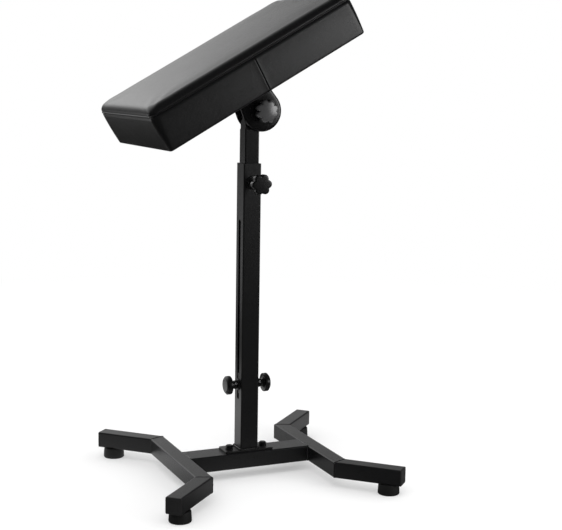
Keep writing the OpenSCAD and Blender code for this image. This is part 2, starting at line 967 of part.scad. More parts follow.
// Gap between the board or foam and the cover round them
pad_fit = 0.2;
// Width of the cover's edge that is folded under the board
flap_w = 24;
// How far the sides are drawn in at their foot and at their middle
draw_foot = 3;
draw_mid = 1;
// Depth and half height of the groove at the top seam
groove = 1.4;
groove_half = 1.6;
// Radius at the foot of the sides
foot_edge = 3.5;

// The crown's outline: its run inwards and its height as shares
crown_steps = 7;
crown_run_share = 0.75;

function crown_in(t) = crown_run_share * pad_w / 2 * pow(t, 1.7);
function crown_up(t) = pad_crown * (1 - pow(1 - t, 2.6));

// Rows of the cushion's skin from its foot to its crown, each as the
// distance that it lies inside the seam's outline, and its height.
// Skin is how far the surface lies under the outer one.
function side_rows(skin) = [
    [draw_foot + foot_edge + skin, flap_z + skin],
    [draw_foot + foot_edge * 0.3 + skin, flap_z + foot_edge * 0.3 + skin],
    [draw_foot + skin, flap_z + foot_edge + skin],
    [draw_foot * 0.6 + skin, flap_z + pad_side_h * 0.3],
    [draw_mid + skin, flap_z + pad_side_h * 0.6],
    [skin, flap_z + pad_side_h - 3 * groove_half]];

function seam_rows(skin) = [
    [skin, flap_z + pad_side_h - groove_half],
    [groove + skin, flap_z + pad_side_h],
    [skin, flap_z + pad_side_h + groove_half]];

function crown_rows(skin) = [
    for (i = [1:crown_steps])
        [skin + crown_in(i / crown_steps),
         flap_z + pad_side_h + groove_half + crown_up(i / crown_steps) - skin]];

function skin_rows(skin) = concat(side_rows(skin), seam_rows(skin), crown_rows(skin));

// A row as points: a rounded rectangle with extra points along its sides
function row_ring(row) =
    let (l = pad_len - 2 * row[0], w = pad_w - 2 * row[0],
         r = max(pad_corner_r - row[0] / 2, pad_corner_r / 3),
         corner_steps = 4, side_steps = 4)
    [for (c = [[1, 1, 0], [-1, 1, 90], [-1, -1, 180], [1, -1, 270]])
        let (cx = c[0] * (l / 2 - r), cy = c[1] * (w / 2 - r),
             next = c[2] == 0 ? [-1, 1] : c[2] == 90 ? [-1, -1] : c[2] == 180 ? [1, -1] : [1, 1],
             a = [cx + r * cos(c[2] + 90), cy + r * sin(c[2] + 90)],
             b = [next[0] * (l / 2 - r) + r * cos(c[2] + 90), next[1] * (w / 2 - r) + r * sin(c[2] + 90)])
        for (i = [0:corner_steps + side_steps - 1])
            i <= corner_steps
                ? [cx + r * cos(c[2] + 90 * i / corner_steps), cy + r * sin(c[2] + 90 * i / corner_steps), row[1]]
                : let (t = (i - corner_steps) / side_steps)
                  [a[0] + (b[0] - a[0]) * t, a[1] + (b[1] - a[1]) * t, row[1]]];

// A closed solid through a stack of rings that all have as many points,
// with a fan of triangles over each end
module ring_stack(rows) {
    rings = [for (row = rows) row_ring(row)];
    n = len(rings[0]);
    last = len(rings) - 1;
    points = concat([for (r = rings) for (p = r) p],
                    [[0, 0, rows[0][1]], [0, 0, rows[last][1]]]);
    walls = [for (k = [0:last - 1]) for (i = [0:n - 1])
        let (a = k * n + i, b = k * n + (i + 1) % n)
        for (f = [[a, a + n, b + n], [a, b + n, b]]) f];
    first_fan = [for (i = [0:n - 1]) [(last + 1) * n, i, (i + 1) % n]];
    last_fan = [for (i = [0:n - 1]) [(last + 1) * n + 1, last * n + (i + 1) % n, last * n + i]];
    polyhedron(points = points, faces = concat(walls, first_fan, last_fan));
}

// Reversed copy of a list
function reversed(list) = [for (i = [len(list) - 1:-1:0]) list[i]];

// Leather cover: one skin over the crown and sides, folded under the board
module pad_cover() {
    under = flap_w + draw_foot;
    color([0.06, 0.06, 0.065])
        at_pivot()
            translate([pad_centre_x, 0, 0])
                ring_stack(concat(reversed(skin_rows(cover_t)),
                                  [[under, flap_z + cover_t], [under, flap_z]],
                                  skin_rows(0)));
}

module pad_foam() {
    inside = cover_t + pad_fit;
    rows = [for (row = skin_rows(inside)) if (row[1] > foam_z + cover_t) row];
    color([0.85, 0.8, 0.6])
        at_pivot()
            translate([pad_centre_x, 0, 0])
                ring_stack(concat([[draw_foot + inside, foam_z]], rows));
}

tee_wall = 1;
tee_barrel_d = pad_bolt_d + 2 * tee_wall;
tee_flange_d = pad_bolt_d * 3;
tee_flange_t = 1.2;

module pad_board() {
    inset = draw_foot + foot_edge + cover_t + pad_fit;
    corner = pad_corner_r * 0.875;
    color([0.72, 0.55, 0.36])
        at_pivot()
            difference() {
                translate([pad_centre_x, 0, board_z])
                    rounded_bar(pad_len - 2 * inset, pad_w - 2 * inset, corner, board_t);
                at_pad_bolts()
                    translate([0, 0, board_z - over]) {
                        cylinder(d = tee_barrel_d + 2 * running, h = board_t + 2 * over);
                        translate([0, 0, over + board_t - tee_flange_t])
                            cylinder(d = tee_flange_d + 2 * running, h = tee_flange_t + over);
                    }
            }
}

// Width of leather that shows round the cloth
cloth_margin = 4;

module underside_cloth() {
    inset = draw_foot + foot_edge + cloth_margin;
    color([0.1, 0.1, 0.1])
        at_pivot()
            difference() {
                translate([pad_centre_x, 0, pad_z])
                    rounded_bar(pad_len - 2 * inset, pad_w - 2 * inset, pad_corner_r / 2, cloth_t);
                at_pad_bolts()
                    translate([0, 0, pad_z - over])
                        cylinder(d = tee_barrel_d, h = cloth_t + 2 * over);
            }
}

pad_washer_t = 1.2;
pad_bolt_head_h = pad_bolt_d * 0.55;

module pad_washers() {
    color([0.55, 0.55, 0.57])
        at_pivot()
            at_pad_bolts()
                translate([0, 0, ear_top - pad_washer_t])
                    ring(pad_bolt_d * 2, pad_bolt_d + 2 * drilled, pad_washer_t);
}

// Button-headed bolts with a hexagon socket, from below
module pad_bolts() {
    shank = pad_washer_t + plate_t + cloth_t + cover_t + board_t * 0.7;
    color([0.5, 0.5, 0.52])
        at_pivot()
            at_pad_bolts()
                translate([0, 0, ear_top - pad_washer_t]) {
                    cylinder(d = pad_bolt_d, h = shank);
                    translate([0, 0, -pad_bolt_head_h])
                        difference() {
                            cylinder(d1 = pad_bolt_d * 1.1, d2 = pad_bolt_d * 1.75, h = pad_bolt_head_h);
                            translate([0, 0, -over])
                                cylinder(r = pad_bolt_d * 0.65 * hex_share, h = pad_bolt_head_h * 0.6 + over,
                                         $fn = 6);
                        }
                }
}

module tee_nuts() {
    color([0.62, 0.62, 0.64])
        at_pivot()
            at_pad_bolts()
                translate([0, 0, foam_z - board_t * 0.8])
                    difference() {
                        union() {
                            cylinder(d = tee_barrel_d, h = board_t * 0.8);
                            translate([0, 0, board_t * 0.8 - tee_flange_t])
                                cylinder(d = tee_flange_d, h = tee_flange_t);
                        }
                        translate([0, 0, -over])
                            cylinder(d = pad_bolt_d + 2 * running, h = board_t + 2 * over);
                    }
}

base_beam();
cross_tube(-1);  // cross_tube_left
cross_tube(1);  // cross_tube_right
leg(-1, -1);  // leg_front_left
leg(1, -1);  // leg_front_right
leg(-1, 1);  // leg_rear_left
leg(1, 1);  // leg_rear_right
leg_plug(-1, -1);  // leg_plug_front_left
leg_plug(1, -1);  // leg_plug_front_right
leg_plug(-1, 1);  // leg_plug_rear_left
leg_plug(1, 1);  // leg_plug_rear_right
foot(-1, -1);  // foot_front_left
foot(1, -1);  // foot_front_right
foot(-1, 1);  // foot_rear_left
foot(1, 1);  // foot_rear_right
foot_screws();
foot_nuts();
base_welds();
post_flange();
post_weld();
flange_bolts();
flange_washers();
beam_nuts();
outer_post();
clamp_boss();
guide_sleeve();
star_knob();
star_knob_stud();
inner_tube();
lower_guide();
slot_rod();
slot_collar(-1);  // slot_collar_left
slot_collar(1);  // slot_collar_right
slot_knob(-1);  // slot_knob_left
slot_knob(1);  // slot_knob_right
slot_knob_insert(-1);  // slot_knob_insert_left
slot_knob_insert(1);  // slot_knob_insert_right
slot_knob_cap(-1);  // slot_knob_cap_left
slot_knob_cap(1);  // slot_knob_cap_right
pivot_head();
pivot_bush();
ear(-1);  // ear_front
ear(1);  // ear_rear
pad_plate();
ear_welds();
friction_washers();
pivot_nut();
tilt_knob_washer();
tilt_knob();
tilt_knob_stud();
pad_board();
pad_foam();
pad_cover();
underside_cloth();
pad_bolts();
pad_washers();
tee_nuts();
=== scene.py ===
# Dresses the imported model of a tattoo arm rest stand: finishes, welds, knobs, feet and upholstery.
# Metres, in the model's own frame: the floor is Z = 0, X runs along the base beam towards the pad's
# raised end, and the two clamp knobs face -Y.

import json
import math
from functools import cache

import bmesh
import bpy
from bpy.props import FloatProperty, FloatVectorProperty, PointerProperty
from mathutils import Matrix, Vector, kdtree, noise


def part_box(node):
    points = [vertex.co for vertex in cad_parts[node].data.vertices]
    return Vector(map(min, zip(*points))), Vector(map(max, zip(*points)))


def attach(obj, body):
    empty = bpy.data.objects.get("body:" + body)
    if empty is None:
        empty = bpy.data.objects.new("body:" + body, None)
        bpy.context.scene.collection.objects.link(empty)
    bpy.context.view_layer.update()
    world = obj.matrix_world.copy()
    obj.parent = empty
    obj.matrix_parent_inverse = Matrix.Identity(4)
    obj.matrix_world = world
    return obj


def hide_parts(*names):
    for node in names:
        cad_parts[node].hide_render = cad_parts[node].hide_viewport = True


bl_info = {
    "name": "Tattoo Arm Rest Stand",
    "version": (1, 0, 0),
    "blender": (4, 5, 0),
    "location": "View3D > Sidebar > Arm Rest",
    "description": "Finishes, welds, knobs, feet and upholstery of a tilting arm rest on a square post",
    "category": "Add Mesh",
}

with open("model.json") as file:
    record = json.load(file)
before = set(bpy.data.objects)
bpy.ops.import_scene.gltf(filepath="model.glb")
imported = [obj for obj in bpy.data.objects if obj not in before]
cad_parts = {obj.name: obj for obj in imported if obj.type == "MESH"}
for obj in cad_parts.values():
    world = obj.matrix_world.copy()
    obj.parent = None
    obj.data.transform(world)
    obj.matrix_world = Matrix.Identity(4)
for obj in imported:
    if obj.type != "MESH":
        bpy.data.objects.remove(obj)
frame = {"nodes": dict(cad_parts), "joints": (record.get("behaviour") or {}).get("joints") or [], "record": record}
bpy.context.view_layer.update()
NODES = frame["nodes"]
JOINTS = {joint["name"]: joint for joint in frame["joints"]}

MM = 0.001
TAU = 2 * math.pi
CORNERS = {"front_left": (-1, -1), "front_right": (1, -1), "rear_left": (-1, 1), "rear_right": (1, 1)}
SIDES = {"left": -1, "right": 1}
# Quarters of a rounded outline: signs of X and Y, and the degrees at which the quarter's arc starts
QUARTERS = ((1, 1, 0), (-1, 1, 90), (-1, -1, 180), (1, -1, 270))
UP = Vector((0, 0, 1))


def middle(node):
    """Middle of a node's box."""
    low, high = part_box(node)
    return (low + high) / 2


def span(node):
    """Size of a node's box."""
    low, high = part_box(node)
    return high - low


def local_box(node, place):
    """Lowest and highest corner of a node's mesh, measured in a frame of its own."""
    back = place.inverted()
    points = [back @ point.co for point in NODES[node].data.vertices]
    low = Vector([min(point[k] for point in points) for k in range(3)])
    high = Vector([max(point[k] for point in points) for k in range(3)])
    return low, high


def facing(direction, origin):
    """Frame whose Z axis points along a direction, for pieces modelled standing up."""
    turn = Vector(direction).to_track_quat("Z", "Y").to_matrix().to_4x4()
    return Matrix.Translation(origin) @ turn


# Modelling by hand

def deselect():
    for piece in bpy.context.selected_objects:
        piece.select_set(False)


def take(piece):
    """Makes a piece the only selected and the active one."""
    deselect()
    piece.select_set(True)
    bpy.context.view_layer.objects.active = piece


def start_edit(piece):
    take(piece)
    bpy.ops.object.mode_set(mode="EDIT")
    bpy.ops.mesh.select_all(action="DESELECT")


def end_edit():
    bpy.ops.object.mode_set(mode="OBJECT")


def added(add, **settings):
    """Deselects everything, adds an object by an operator and returns it."""
    deselect()
    add(**settings)
    return bpy.context.object


def soften(piece, width, segments=3):
    """Rounds every edge that is sharper than 35 degrees."""
    take(piece)
    bpy.ops.object.modifier_add(type="BEVEL")
    bevel = piece.modifiers[-1]
    bevel.width = width
    bevel.segments = segments
    bevel.limit_method = "ANGLE"
    bevel.angle_limit = math.radians(35)
    bevel.harden_normals = True
    bpy.ops.object.modifier_apply(modifier=bevel.name)


def join(pieces):
    """Joins pieces into the first one."""
    take(pieces[0])
    for piece in pieces[1:]:
        piece.select_set(True)
    bpy.ops.object.join()
    return pieces[0]


def close_up(piece):
    """Merges doubles and points every face outwards."""
    start_edit(piece)
    bpy.ops.mesh.select_all(action="SELECT")
    bpy.ops.mesh.remove_doubles(threshold=0.00001)
    bpy.ops.mesh.normals_make_consistent(inside=False)
    end_edit()


def smooth(piece, angle=35):
    take(piece)
    bpy.ops.object.shade_smooth_by_angle(angle=math.radians(angle))


def seat_piece(piece, name, body, slot, place=None, nodes=(), finish=None):
    """Names a finished piece, puts its place in its mesh, gives it its finish, parents it to its body and hides
    the nodes that it replaces.
    """
    piece.name = name
    piece.data.name = name
    if place is not None:
        piece.data.transform(place)
    piece.data.transform(piece.matrix_world)
    piece.matrix_world = Matrix.Identity(4)
    piece.data.materials.clear()
    piece.data.materials.append(finish_named(finish or slot))
    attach(piece, body)
    if nodes:
        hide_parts(*nodes)


def ring_stack(count, rows, point, closed=False, angle=None):
    """A turned or lofted piece, drawn up ring by ring from a circle of count points.

    point(turn, row) gives where a ring's point goes, with turn from 0 to 1 round the ring. A closed
    stack comes back to its first ring and has a hole through it; another ends in flat faces. With an
    angle, the piece is shaded smooth over edges that are less sharp.
    """
    piece = added(bpy.ops.mesh.primitive_circle_add, vertices=count, radius=1, enter_editmode=True,
                  fill_type="NOTHING" if closed else "NGON")
    shape = bmesh.from_edit_mesh(piece.data)
    turns = shape.verts.layers.float.new("turn")
    for vert in shape.verts:
        vert[turns] = (math.atan2(vert.co.y, vert.co.x) / TAU) % 1
    bmesh.update_edit_mesh(piece.data)
    bpy.ops.mesh.select_mode(type="VERT")
    bpy.ops.mesh.select_all(action="SELECT")
    for number, row in enumerate(rows):
        if number:
            bpy.ops.mesh.extrude_region_move()
        shape = bmesh.from_edit_mesh(piece.data)
        turns = shape.verts.layers.float["turn"]
        for vert in shape.verts:
            if vert.select:
                vert.co = point(vert[turns], row)
        bmesh.update_edit_mesh(piece.data)
    bpy.ops.mesh.select_all(action="SELECT")
    bpy.ops.mesh.remove_doubles(threshold=0.000005)
    bpy.ops.mesh.normals_make_consistent(inside=False)
    end_edit()
    piece.data.attributes.remove(piece.data.attributes["turn"])
    if angle is not None:
        smooth(piece, angle)
    return piece


def round_point(turn, row):
    """Point of a turned row, given as (radius, height)."""
    return Vector((row[0] * math.cos(TAU * turn), row[0] * math.sin(TAU * turn), row[1]))


def turned(rows, count=64, closed=False, angle=35):
    """A turned piece about Z through rows of (radius, height)."""
    return ring_stack(count, rows, round_point, closed, angle)


def arc_rows(centre, radius, start, end, steps):
    """Points along an arc, as pairs: angle 0 points along the first value and 90 along the second."""
    rows = []
    for step in range(steps + 1):
        angle = math.radians(start + (end - start) * step / steps)
        rows.append((centre[0] + radius * math.cos(angle), centre[1] + radius * math.sin(angle)))
    return rows


def lobed_point(lobes, depth, first_turn, widest, dome):
    """Point function for rows of (radius, height, share of the lobes' depth, share of the dome)."""
    def point(turn, row):
        angle = TAU * turn
        valley = 1 - abs(math.cos(lobes * (angle - first_turn) / 2)) ** 0.9
        radius = row[0] - depth * row[2] * valley
        height = row[1] - dome * row[3] * (radius / widest) ** 2
        return Vector((radius * math.cos(angle), radius * math.sin(angle), height))
    return point


def square_point(steps):
    """Point function for rows of (half the width, corner radius, height)."""
    def point(turn, row):
        half, radius, height = row
        number = int(round(turn * 4 * (steps + 1))) % (4 * (steps + 1))
        corner, step = divmod(number, steps + 1)
        sx, sy, start = QUARTERS[corner]
        angle = math.radians(start + 90 * step / steps)
        reach = half - radius
        return Vector((sx * reach + radius * math.cos(angle), sy * reach + radius * math.sin(angle), height))
    return point


def hexagon_point(turn, row):
    """Point of a row, given as (half the width across flats, height, limit of the radius)."""
    angle = TAU * turn
    off_flat = (angle + math.pi / 6) % (math.pi / 3) - math.pi / 6
    radius = min(row[0] / math.cos(off_flat), row[2])
    return Vector((radius * math.cos(angle), radius * math.sin(angle), row[1]))


def block(size, centre=(0, 0, 0)):
    """A box of a size about a centre, to be shaped further."""
    piece = added(bpy.ops.mesh.primitive_cube_add, size=1, location=centre)
    piece.scale = size
    bpy.ops.object.transform_apply(location=True, rotation=False, scale=True)
    return piece


def round_upright_edges(piece, radius, segments):
    """Rounds the edges of a block that run along Z."""
    start_edit(piece)
    bpy.ops.mesh.select_mode(type="EDGE")
    shape = bmesh.from_edit_mesh(piece.data)
    for edge in shape.edges:
        run = edge.verts[1].co - edge.verts[0].co
        if abs(run.z) > 0.99 * run.length:
            edge.select_set(True)
    shape.select_flush_mode()
    bmesh.update_edit_mesh(piece.data)
    bpy.ops.mesh.bevel(offset=radius, offset_type="OFFSET", segments=segments, profile=0.5, affect="EDGES")
    end_edit()


def bead(points, radius, name, closed=True, ripple=0.14):
    """A weld bead: a rippled round run along a path of closely spaced points."""
    pitch = 2.1 * MM
    curve = bpy.data.curves.new(name, "CURVE")
    curve.dimensions = "3D"
    curve.bevel_depth = radius
    curve.bevel_resolution = 3
    curve.use_fill_caps = not closed
    spline = curve.splines.new("POLY")
    spline.points.add(len(points) - 1)
    spline.use_cyclic_u = closed
    run = 0.0
    for number, place in enumerate(points):
        if number:
            run += (Vector(place) - Vector(points[number - 1])).length
        lump = noise.noise(Vector(place) * 260)
        spline.points[number].co = (*place, 1)
        spline.points[number].radius = 1 + ripple * abs(math.sin(math.pi * run / pitch)) + 0.16 * lump
    piece = bpy.data.objects.new(name, curve)
    bpy.context.scene.collection.objects.link(piece)
    take(piece)
    bpy.ops.object.convert(target="MESH")
    piece = bpy.context.object
    close_up(piece)
    smooth(piece, 80)
    return piece


def line_points(start, end, steps):
    """Evenly spaced points from one place to another."""
    return [Vector(start).lerp(Vector(end), step / steps) for step in range(steps + 1)]


def rounded_path(width, height, radius):
    """Closely spaced points round a rounded rectangle, as (across, up)."""
    spacing = 0.5 * MM
    steps = int(radius * math.pi / 2 / spacing)
    arcs = []
    for sx, sy, start in QUARTERS:
        centre = (sx * (width / 2 - radius), sy * (height / 2 - radius))
        arcs.append(arc_rows(centre, radius, start, start + 90, steps))
    points = []
    for number, arc in enumerate(arcs):
        here, there = arc[-1], arcs[(number + 1) % 4][0]
        points += arc + line_points(here, there, int(math.dist(here, there) / spacing))[1:-1]
    return points


# Finishes

def group_socket(group, name, kind, flow, default=None):
    socket = group.interface.new_socket(name=name, in_out=flow, socket_type=kind)
    if default is not None:
        socket.default_value = default


def node_group(name, inputs, outputs):
    """An empty shader group with named number inputs, a vector input and number outputs."""
    group = bpy.data.node_groups.new(name, "ShaderNodeTree")
    group_socket(group, "Vector", "NodeSocketVector", "INPUT")
    for label, default in inputs.items():
        group_socket(group, label, "NodeSocketFloat", "INPUT", default)
    for label in outputs:
        group_socket(group, label, "NodeSocketFloat", "OUTPUT")
    return group, group.nodes.new("NodeGroupInput"), group.nodes.new("NodeGroupOutput")


def feed(tree, socket, value):
    """Sets a socket to a number, or links another socket to it."""
    if isinstance(value, (int, float)):
        socket.default_value = value
    else:
        tree.links.new(value, socket)


def math_node(tree, operation, *values):
    """A Math node on sockets or numbers; returns its output."""
    made = tree.nodes.new("ShaderNodeMath")
    made.operation = operation
    for socket, value in zip(made.inputs, values):
        feed(tree, socket, value)
    return made.outputs[0]


def swing_node(tree, mask, amount):
    """Swings about zero with a mask whose middle is 0.5."""
    return math_node(tree, "MULTIPLY", math_node(tree, "SUBTRACT", mask, 0.5), amount)


def dot_node(tree, vector, direction):
    """How far a vector reaches along a direction."""
    made = tree.nodes.new("ShaderNodeVectorMath")
    made.operation = "DOT_PRODUCT"
    made.inputs[1].default_value = direction
    tree.links.new(vector, made.inputs[0])
    return made.outputs["Value"]


def noise_node(tree, vector, scale, detail=2.0, roughness=0.5, distortion=0.0):
    made = tree.nodes.new("ShaderNodeTexNoise")
    for label, value in (("Vector", vector), ("Scale", scale), ("Detail", detail), ("Roughness", roughness),
                         ("Distortion", distortion)):
        feed(tree, made.inputs[label], value)
    return made.outputs[0]


def spread_node(tree, value, low, high, to_low, to_high):
    """Runs from one number to another as a value goes from low to high, and holds them beyond."""
    made = tree.nodes.new("ShaderNodeMapRange")
    for label, number in (("Value", value), ("From Min", low), ("From Max", high), ("To Min", to_low),
                          ("To Max", to_high)):
        feed(tree, made.inputs[label], number)
    return made.outputs[0]


def mix_node(tree, factor, first, second):
    made = tree.nodes.new("ShaderNodeMix")
    for label, value in (("Factor", factor), ("A", first), ("B", second)):
        feed(tree, made.inputs[label], value)
    return made.outputs["Result"]


def mix_shaders(tree, factor, first, second):
    made = tree.nodes.new("ShaderNodeMixShader")
    for socket, value in zip(made.inputs, (factor, first, second)):
        tree.links.new(value, socket)
    return made.outputs[0]


def ray_kinds(tree):
    """Two masks: what the camera sees itself, and what gloss and glass see."""
    path = tree.nodes.new("ShaderNodeLightPath").outputs
    return path["Is Camera Ray"], math_node(tree, "MAXIMUM", path["Is Glossy Ray"],
                                            path["Is Transmission Ray"])


@cache
def coat_grain_group():
    """Orange peel of a sprayed coat, with slow changes of gloss."""
    group, given, out = node_group("Coat grain", {"Grain": 900.0, "Roughness": 0.4, "Handling": 0.06},
                                   ("Height", "Roughness"))
    vector = given.outputs["Vector"]
    peel = noise_node(group, vector, given.outputs["Grain"], 2.0, 0.55)
    group.links.new(peel, out.inputs["Height"])
    slow = noise_node(group, vector, 22.0, 3.0, 0.6)
    swing = math_node(group, "ADD", swing_node(group, peel, 0.08),
                      swing_node(group, slow, given.outputs["Handling"]))
    group.links.new(math_node(group, "ADD", given.outputs["Roughness"], swing), out.inputs["Roughness"])
    return group


@cache
def hide_grain_group():
    """Fine pebbled grain of artificial leather, with creases between the pebbles."""
    group, given, out = node_group("Hide grain", {"Grain": 700.0, "Roughness": 0.45, "Wear": 0.05},
                                   ("Height", "Roughness", "Mask"))
    vector, grain = given.outputs["Vector"], given.outputs["Grain"]
    warp = noise_node(group, vector, math_node(group, "MULTIPLY", grain, 0.35), 2.0, 0.5)
    mixed = group.nodes.new("ShaderNodeVectorMath")
    mixed.operation = "ADD"
    group.links.new(vector, mixed.inputs[0])
    group.links.new(math_node(group, "DIVIDE", warp, grain), mixed.inputs[1])
    cells = group.nodes.new("ShaderNodeTexVoronoi")
    cells.feature = "DISTANCE_TO_EDGE"
    group.links.new(grain, cells.inputs["Scale"])
    group.links.new(mixed.outputs[0], cells.inputs["Vector"])
    pebble = spread_node(group, cells.outputs["Distance"], 0.0, 0.3, 0.0, 1.0)
    slow = noise_node(group, vector, 14.0, 4.0, 0.6)
    swing = swing_node(group, slow, given.outputs["Wear"])
    crease = math_node(group, "MULTIPLY", math_node(group, "SUBTRACT", 1.0, pebble), 0.06)
    total = math_node(group, "ADD", given.outputs["Roughness"], math_node(group, "ADD", swing, crease))
    group.links.new(math_node(group, "MULTIPLY_ADD", warp, 0.4, pebble), out.inputs["Height"])
    group.links.new(total, out.inputs["Roughness"])
    group.links.new(pebble, out.inputs["Mask"])
    return group


@cache
def fibre_group():
    """Tangled fibres of felt and non-woven cloth."""
    group, given, out = node_group("Fibres", {"Grain": 900.0}, ("Height", "Mask"))
    tangle = noise_node(group, given.outputs["Vector"], given.outputs["Grain"], 5.0, 0.5, 1.6)
    group.links.new(tangle, out.inputs["Height"])
    group.links.new(spread_node(group, tangle, 0.35, 0.65, 0.0, 1.0), out.inputs["Mask"])
    return group


@cache
def turned_marks_group():
    """Fine drawn or turned marks along Z of plated steel and brass."""
    group, given, out = node_group("Turned marks", {"Grain": 1800.0, "Roughness": 0.3},
                                   ("Height", "Roughness"))
    vector = given.outputs["Vector"]
    marks = noise_node(group, vector, given.outputs["Grain"], 4.0, 0.7)
    swing = swing_node(group, noise_node(group, vector, 60.0, 2.0, 0.5), 0.16)
    group.links.new(marks, out.inputs["Height"])
    group.links.new(math_node(group, "ADD", given.outputs["Roughness"], swing), out.inputs["Roughness"])
    return group


def effect(tree, maker, vector, **values):
    """Places a shared effect in a material, with the material's own values."""
    made = tree.nodes.new("ShaderNodeGroup")
    made.node_tree = maker()
    tree.links.new(vector, made.inputs["Vector"])
    for label, value in values.items():
        made.inputs[label].default_value = value
    return made.outputs


def new_finish(name, colour, metallic=0.0):
    """A material with a Principled BSDF and object coordinates."""
    finish = bpy.data.materials.new(name)
    finish.use_nodes = True
    tree = finish.node_tree
    shader = tree.nodes["Principled BSDF"]
    shader.inputs["Base Color"].default_value = (*colour, 1)
    shader.inputs["Metallic"].default_value = metallic
    vector = tree.nodes.new("ShaderNodeTexCoord").outputs["Object"]
    return finish, tree, shader, vector


def add_bump(tree, shader, height, depth, strength=1.0):
    bump = tree.nodes.new("ShaderNodeBump")
    bump.inputs["Strength"].default_value = strength
    bump.inputs["Distance"].default_value = depth
    tree.links.new(height, bump.inputs["Height"])
    tree.links.new(bump.outputs[0], shader.inputs["Normal"])


def shade_colour(tree, shader, mask, dark, light):
    """Base colour that runs between two shades by a mask."""
    mix = tree.nodes.new("ShaderNodeMix")
    mix.data_type = "RGBA"
    mix.inputs["A"].default_value = (*dark, 1)
    mix.inputs["B"].default_value = (*light, 1)
    tree.links.new(mask, mix.inputs["Factor"])
    tree.links.new(mix.outputs["Result"], shader.inputs["Base Color"])


def shade_about(tree, shader, mask, colour, low, high):
    """Base colour that runs between two shares of a colour by a mask."""
    shade_colour(tree, shader, mask, [low * part for part in colour], [high * part for part in colour])


def coated(name, colour, roughness, grain, depth, handling=0.06, coat=0.0):
    """A sprayed or moulded finish with a fine skin."""
    finish, tree, shader, vector = new_finish(name, colour)
    outs = effect(tree, coat_grain_group, vector, Grain=grain, Roughness=roughness, Handling=handling)
    tree.links.new(outs["Roughness"], shader.inputs["Roughness"])
    slow = noise_node(tree, vector, 30.0, 3.0, 0.6)
    shade_about(tree, shader, slow, colour, 0.8, 1.2)
    shader.inputs["Coat Weight"].default_value = coat
    shader.inputs["Coat Roughness"].default_value = 0.22
    add_bump(tree, shader, outs["Height"], depth)
    return finish


def metal(name, colour, roughness):
    """Bare or plated metal with fine marks."""
    finish, tree, shader, vector = new_finish(name, colour, metallic=1.0)
    outs = effect(tree, turned_marks_group, vector, Roughness=roughness)
    tree.links.new(outs["Roughness"], shader.inputs["Roughness"])
    shade_about(tree, shader, outs["Height"], colour, 0.9, 1.05)
    add_bump(tree, shader, outs["Height"], 0.00002, 0.4)
    return finish


def leather(name, colour, roughness):
    """Grained artificial leather, a little glossier where it is rubbed."""
    finish, tree, shader, vector = new_finish(name, colour)
    outs = effect(tree, hide_grain_group, vector, Grain=850.0, Roughness=roughness, Wear=0.06)
    tree.links.new(outs["Roughness"], shader.inputs["Roughness"])
    shade_about(tree, shader, outs["Mask"], colour, 0.7, 1.1)
    add_bump(tree, shader, outs["Height"], 0.00006, 0.5)
    return finish


def fibrous(name, dark, light, depth, grain=900.0):
    """Felt, foam or non-woven cloth in two shades."""
    finish, tree, shader, vector = new_finish(name, dark)
    outs = effect(tree, fibre_group, vector, Grain=grain)
    shade_colour(tree, shader, outs["Mask"], dark, light)
    shader.inputs["Roughness"].default_value = 0.92
    shader.inputs["Sheen Weight"].default_value = 0.1
    add_bump(tree, shader, outs["Height"], depth)
    return finish


def plywood(name):
    """Thin plies seen at the edge, long grain on the faces."""
    finish, tree, shader, vector = new_finish(name, (0.6, 0.44, 0.27))
    plies = tree.nodes.new("ShaderNodeTexWave")
    plies.bands_direction = "Z"
    plies.inputs["Scale"].default_value = 110.0
    plies.inputs["Distortion"].default_value = 1.2
    tree.links.new(vector, plies.inputs["Vector"])
    shade_colour(tree, shader, plies.outputs["Fac"], (0.42, 0.28, 0.15), (0.66, 0.5, 0.32))
    shader.inputs["Roughness"].default_value = 0.7
    add_bump(tree, shader, plies.outputs["Fac"], 0.0001, 0.3)
    return finish


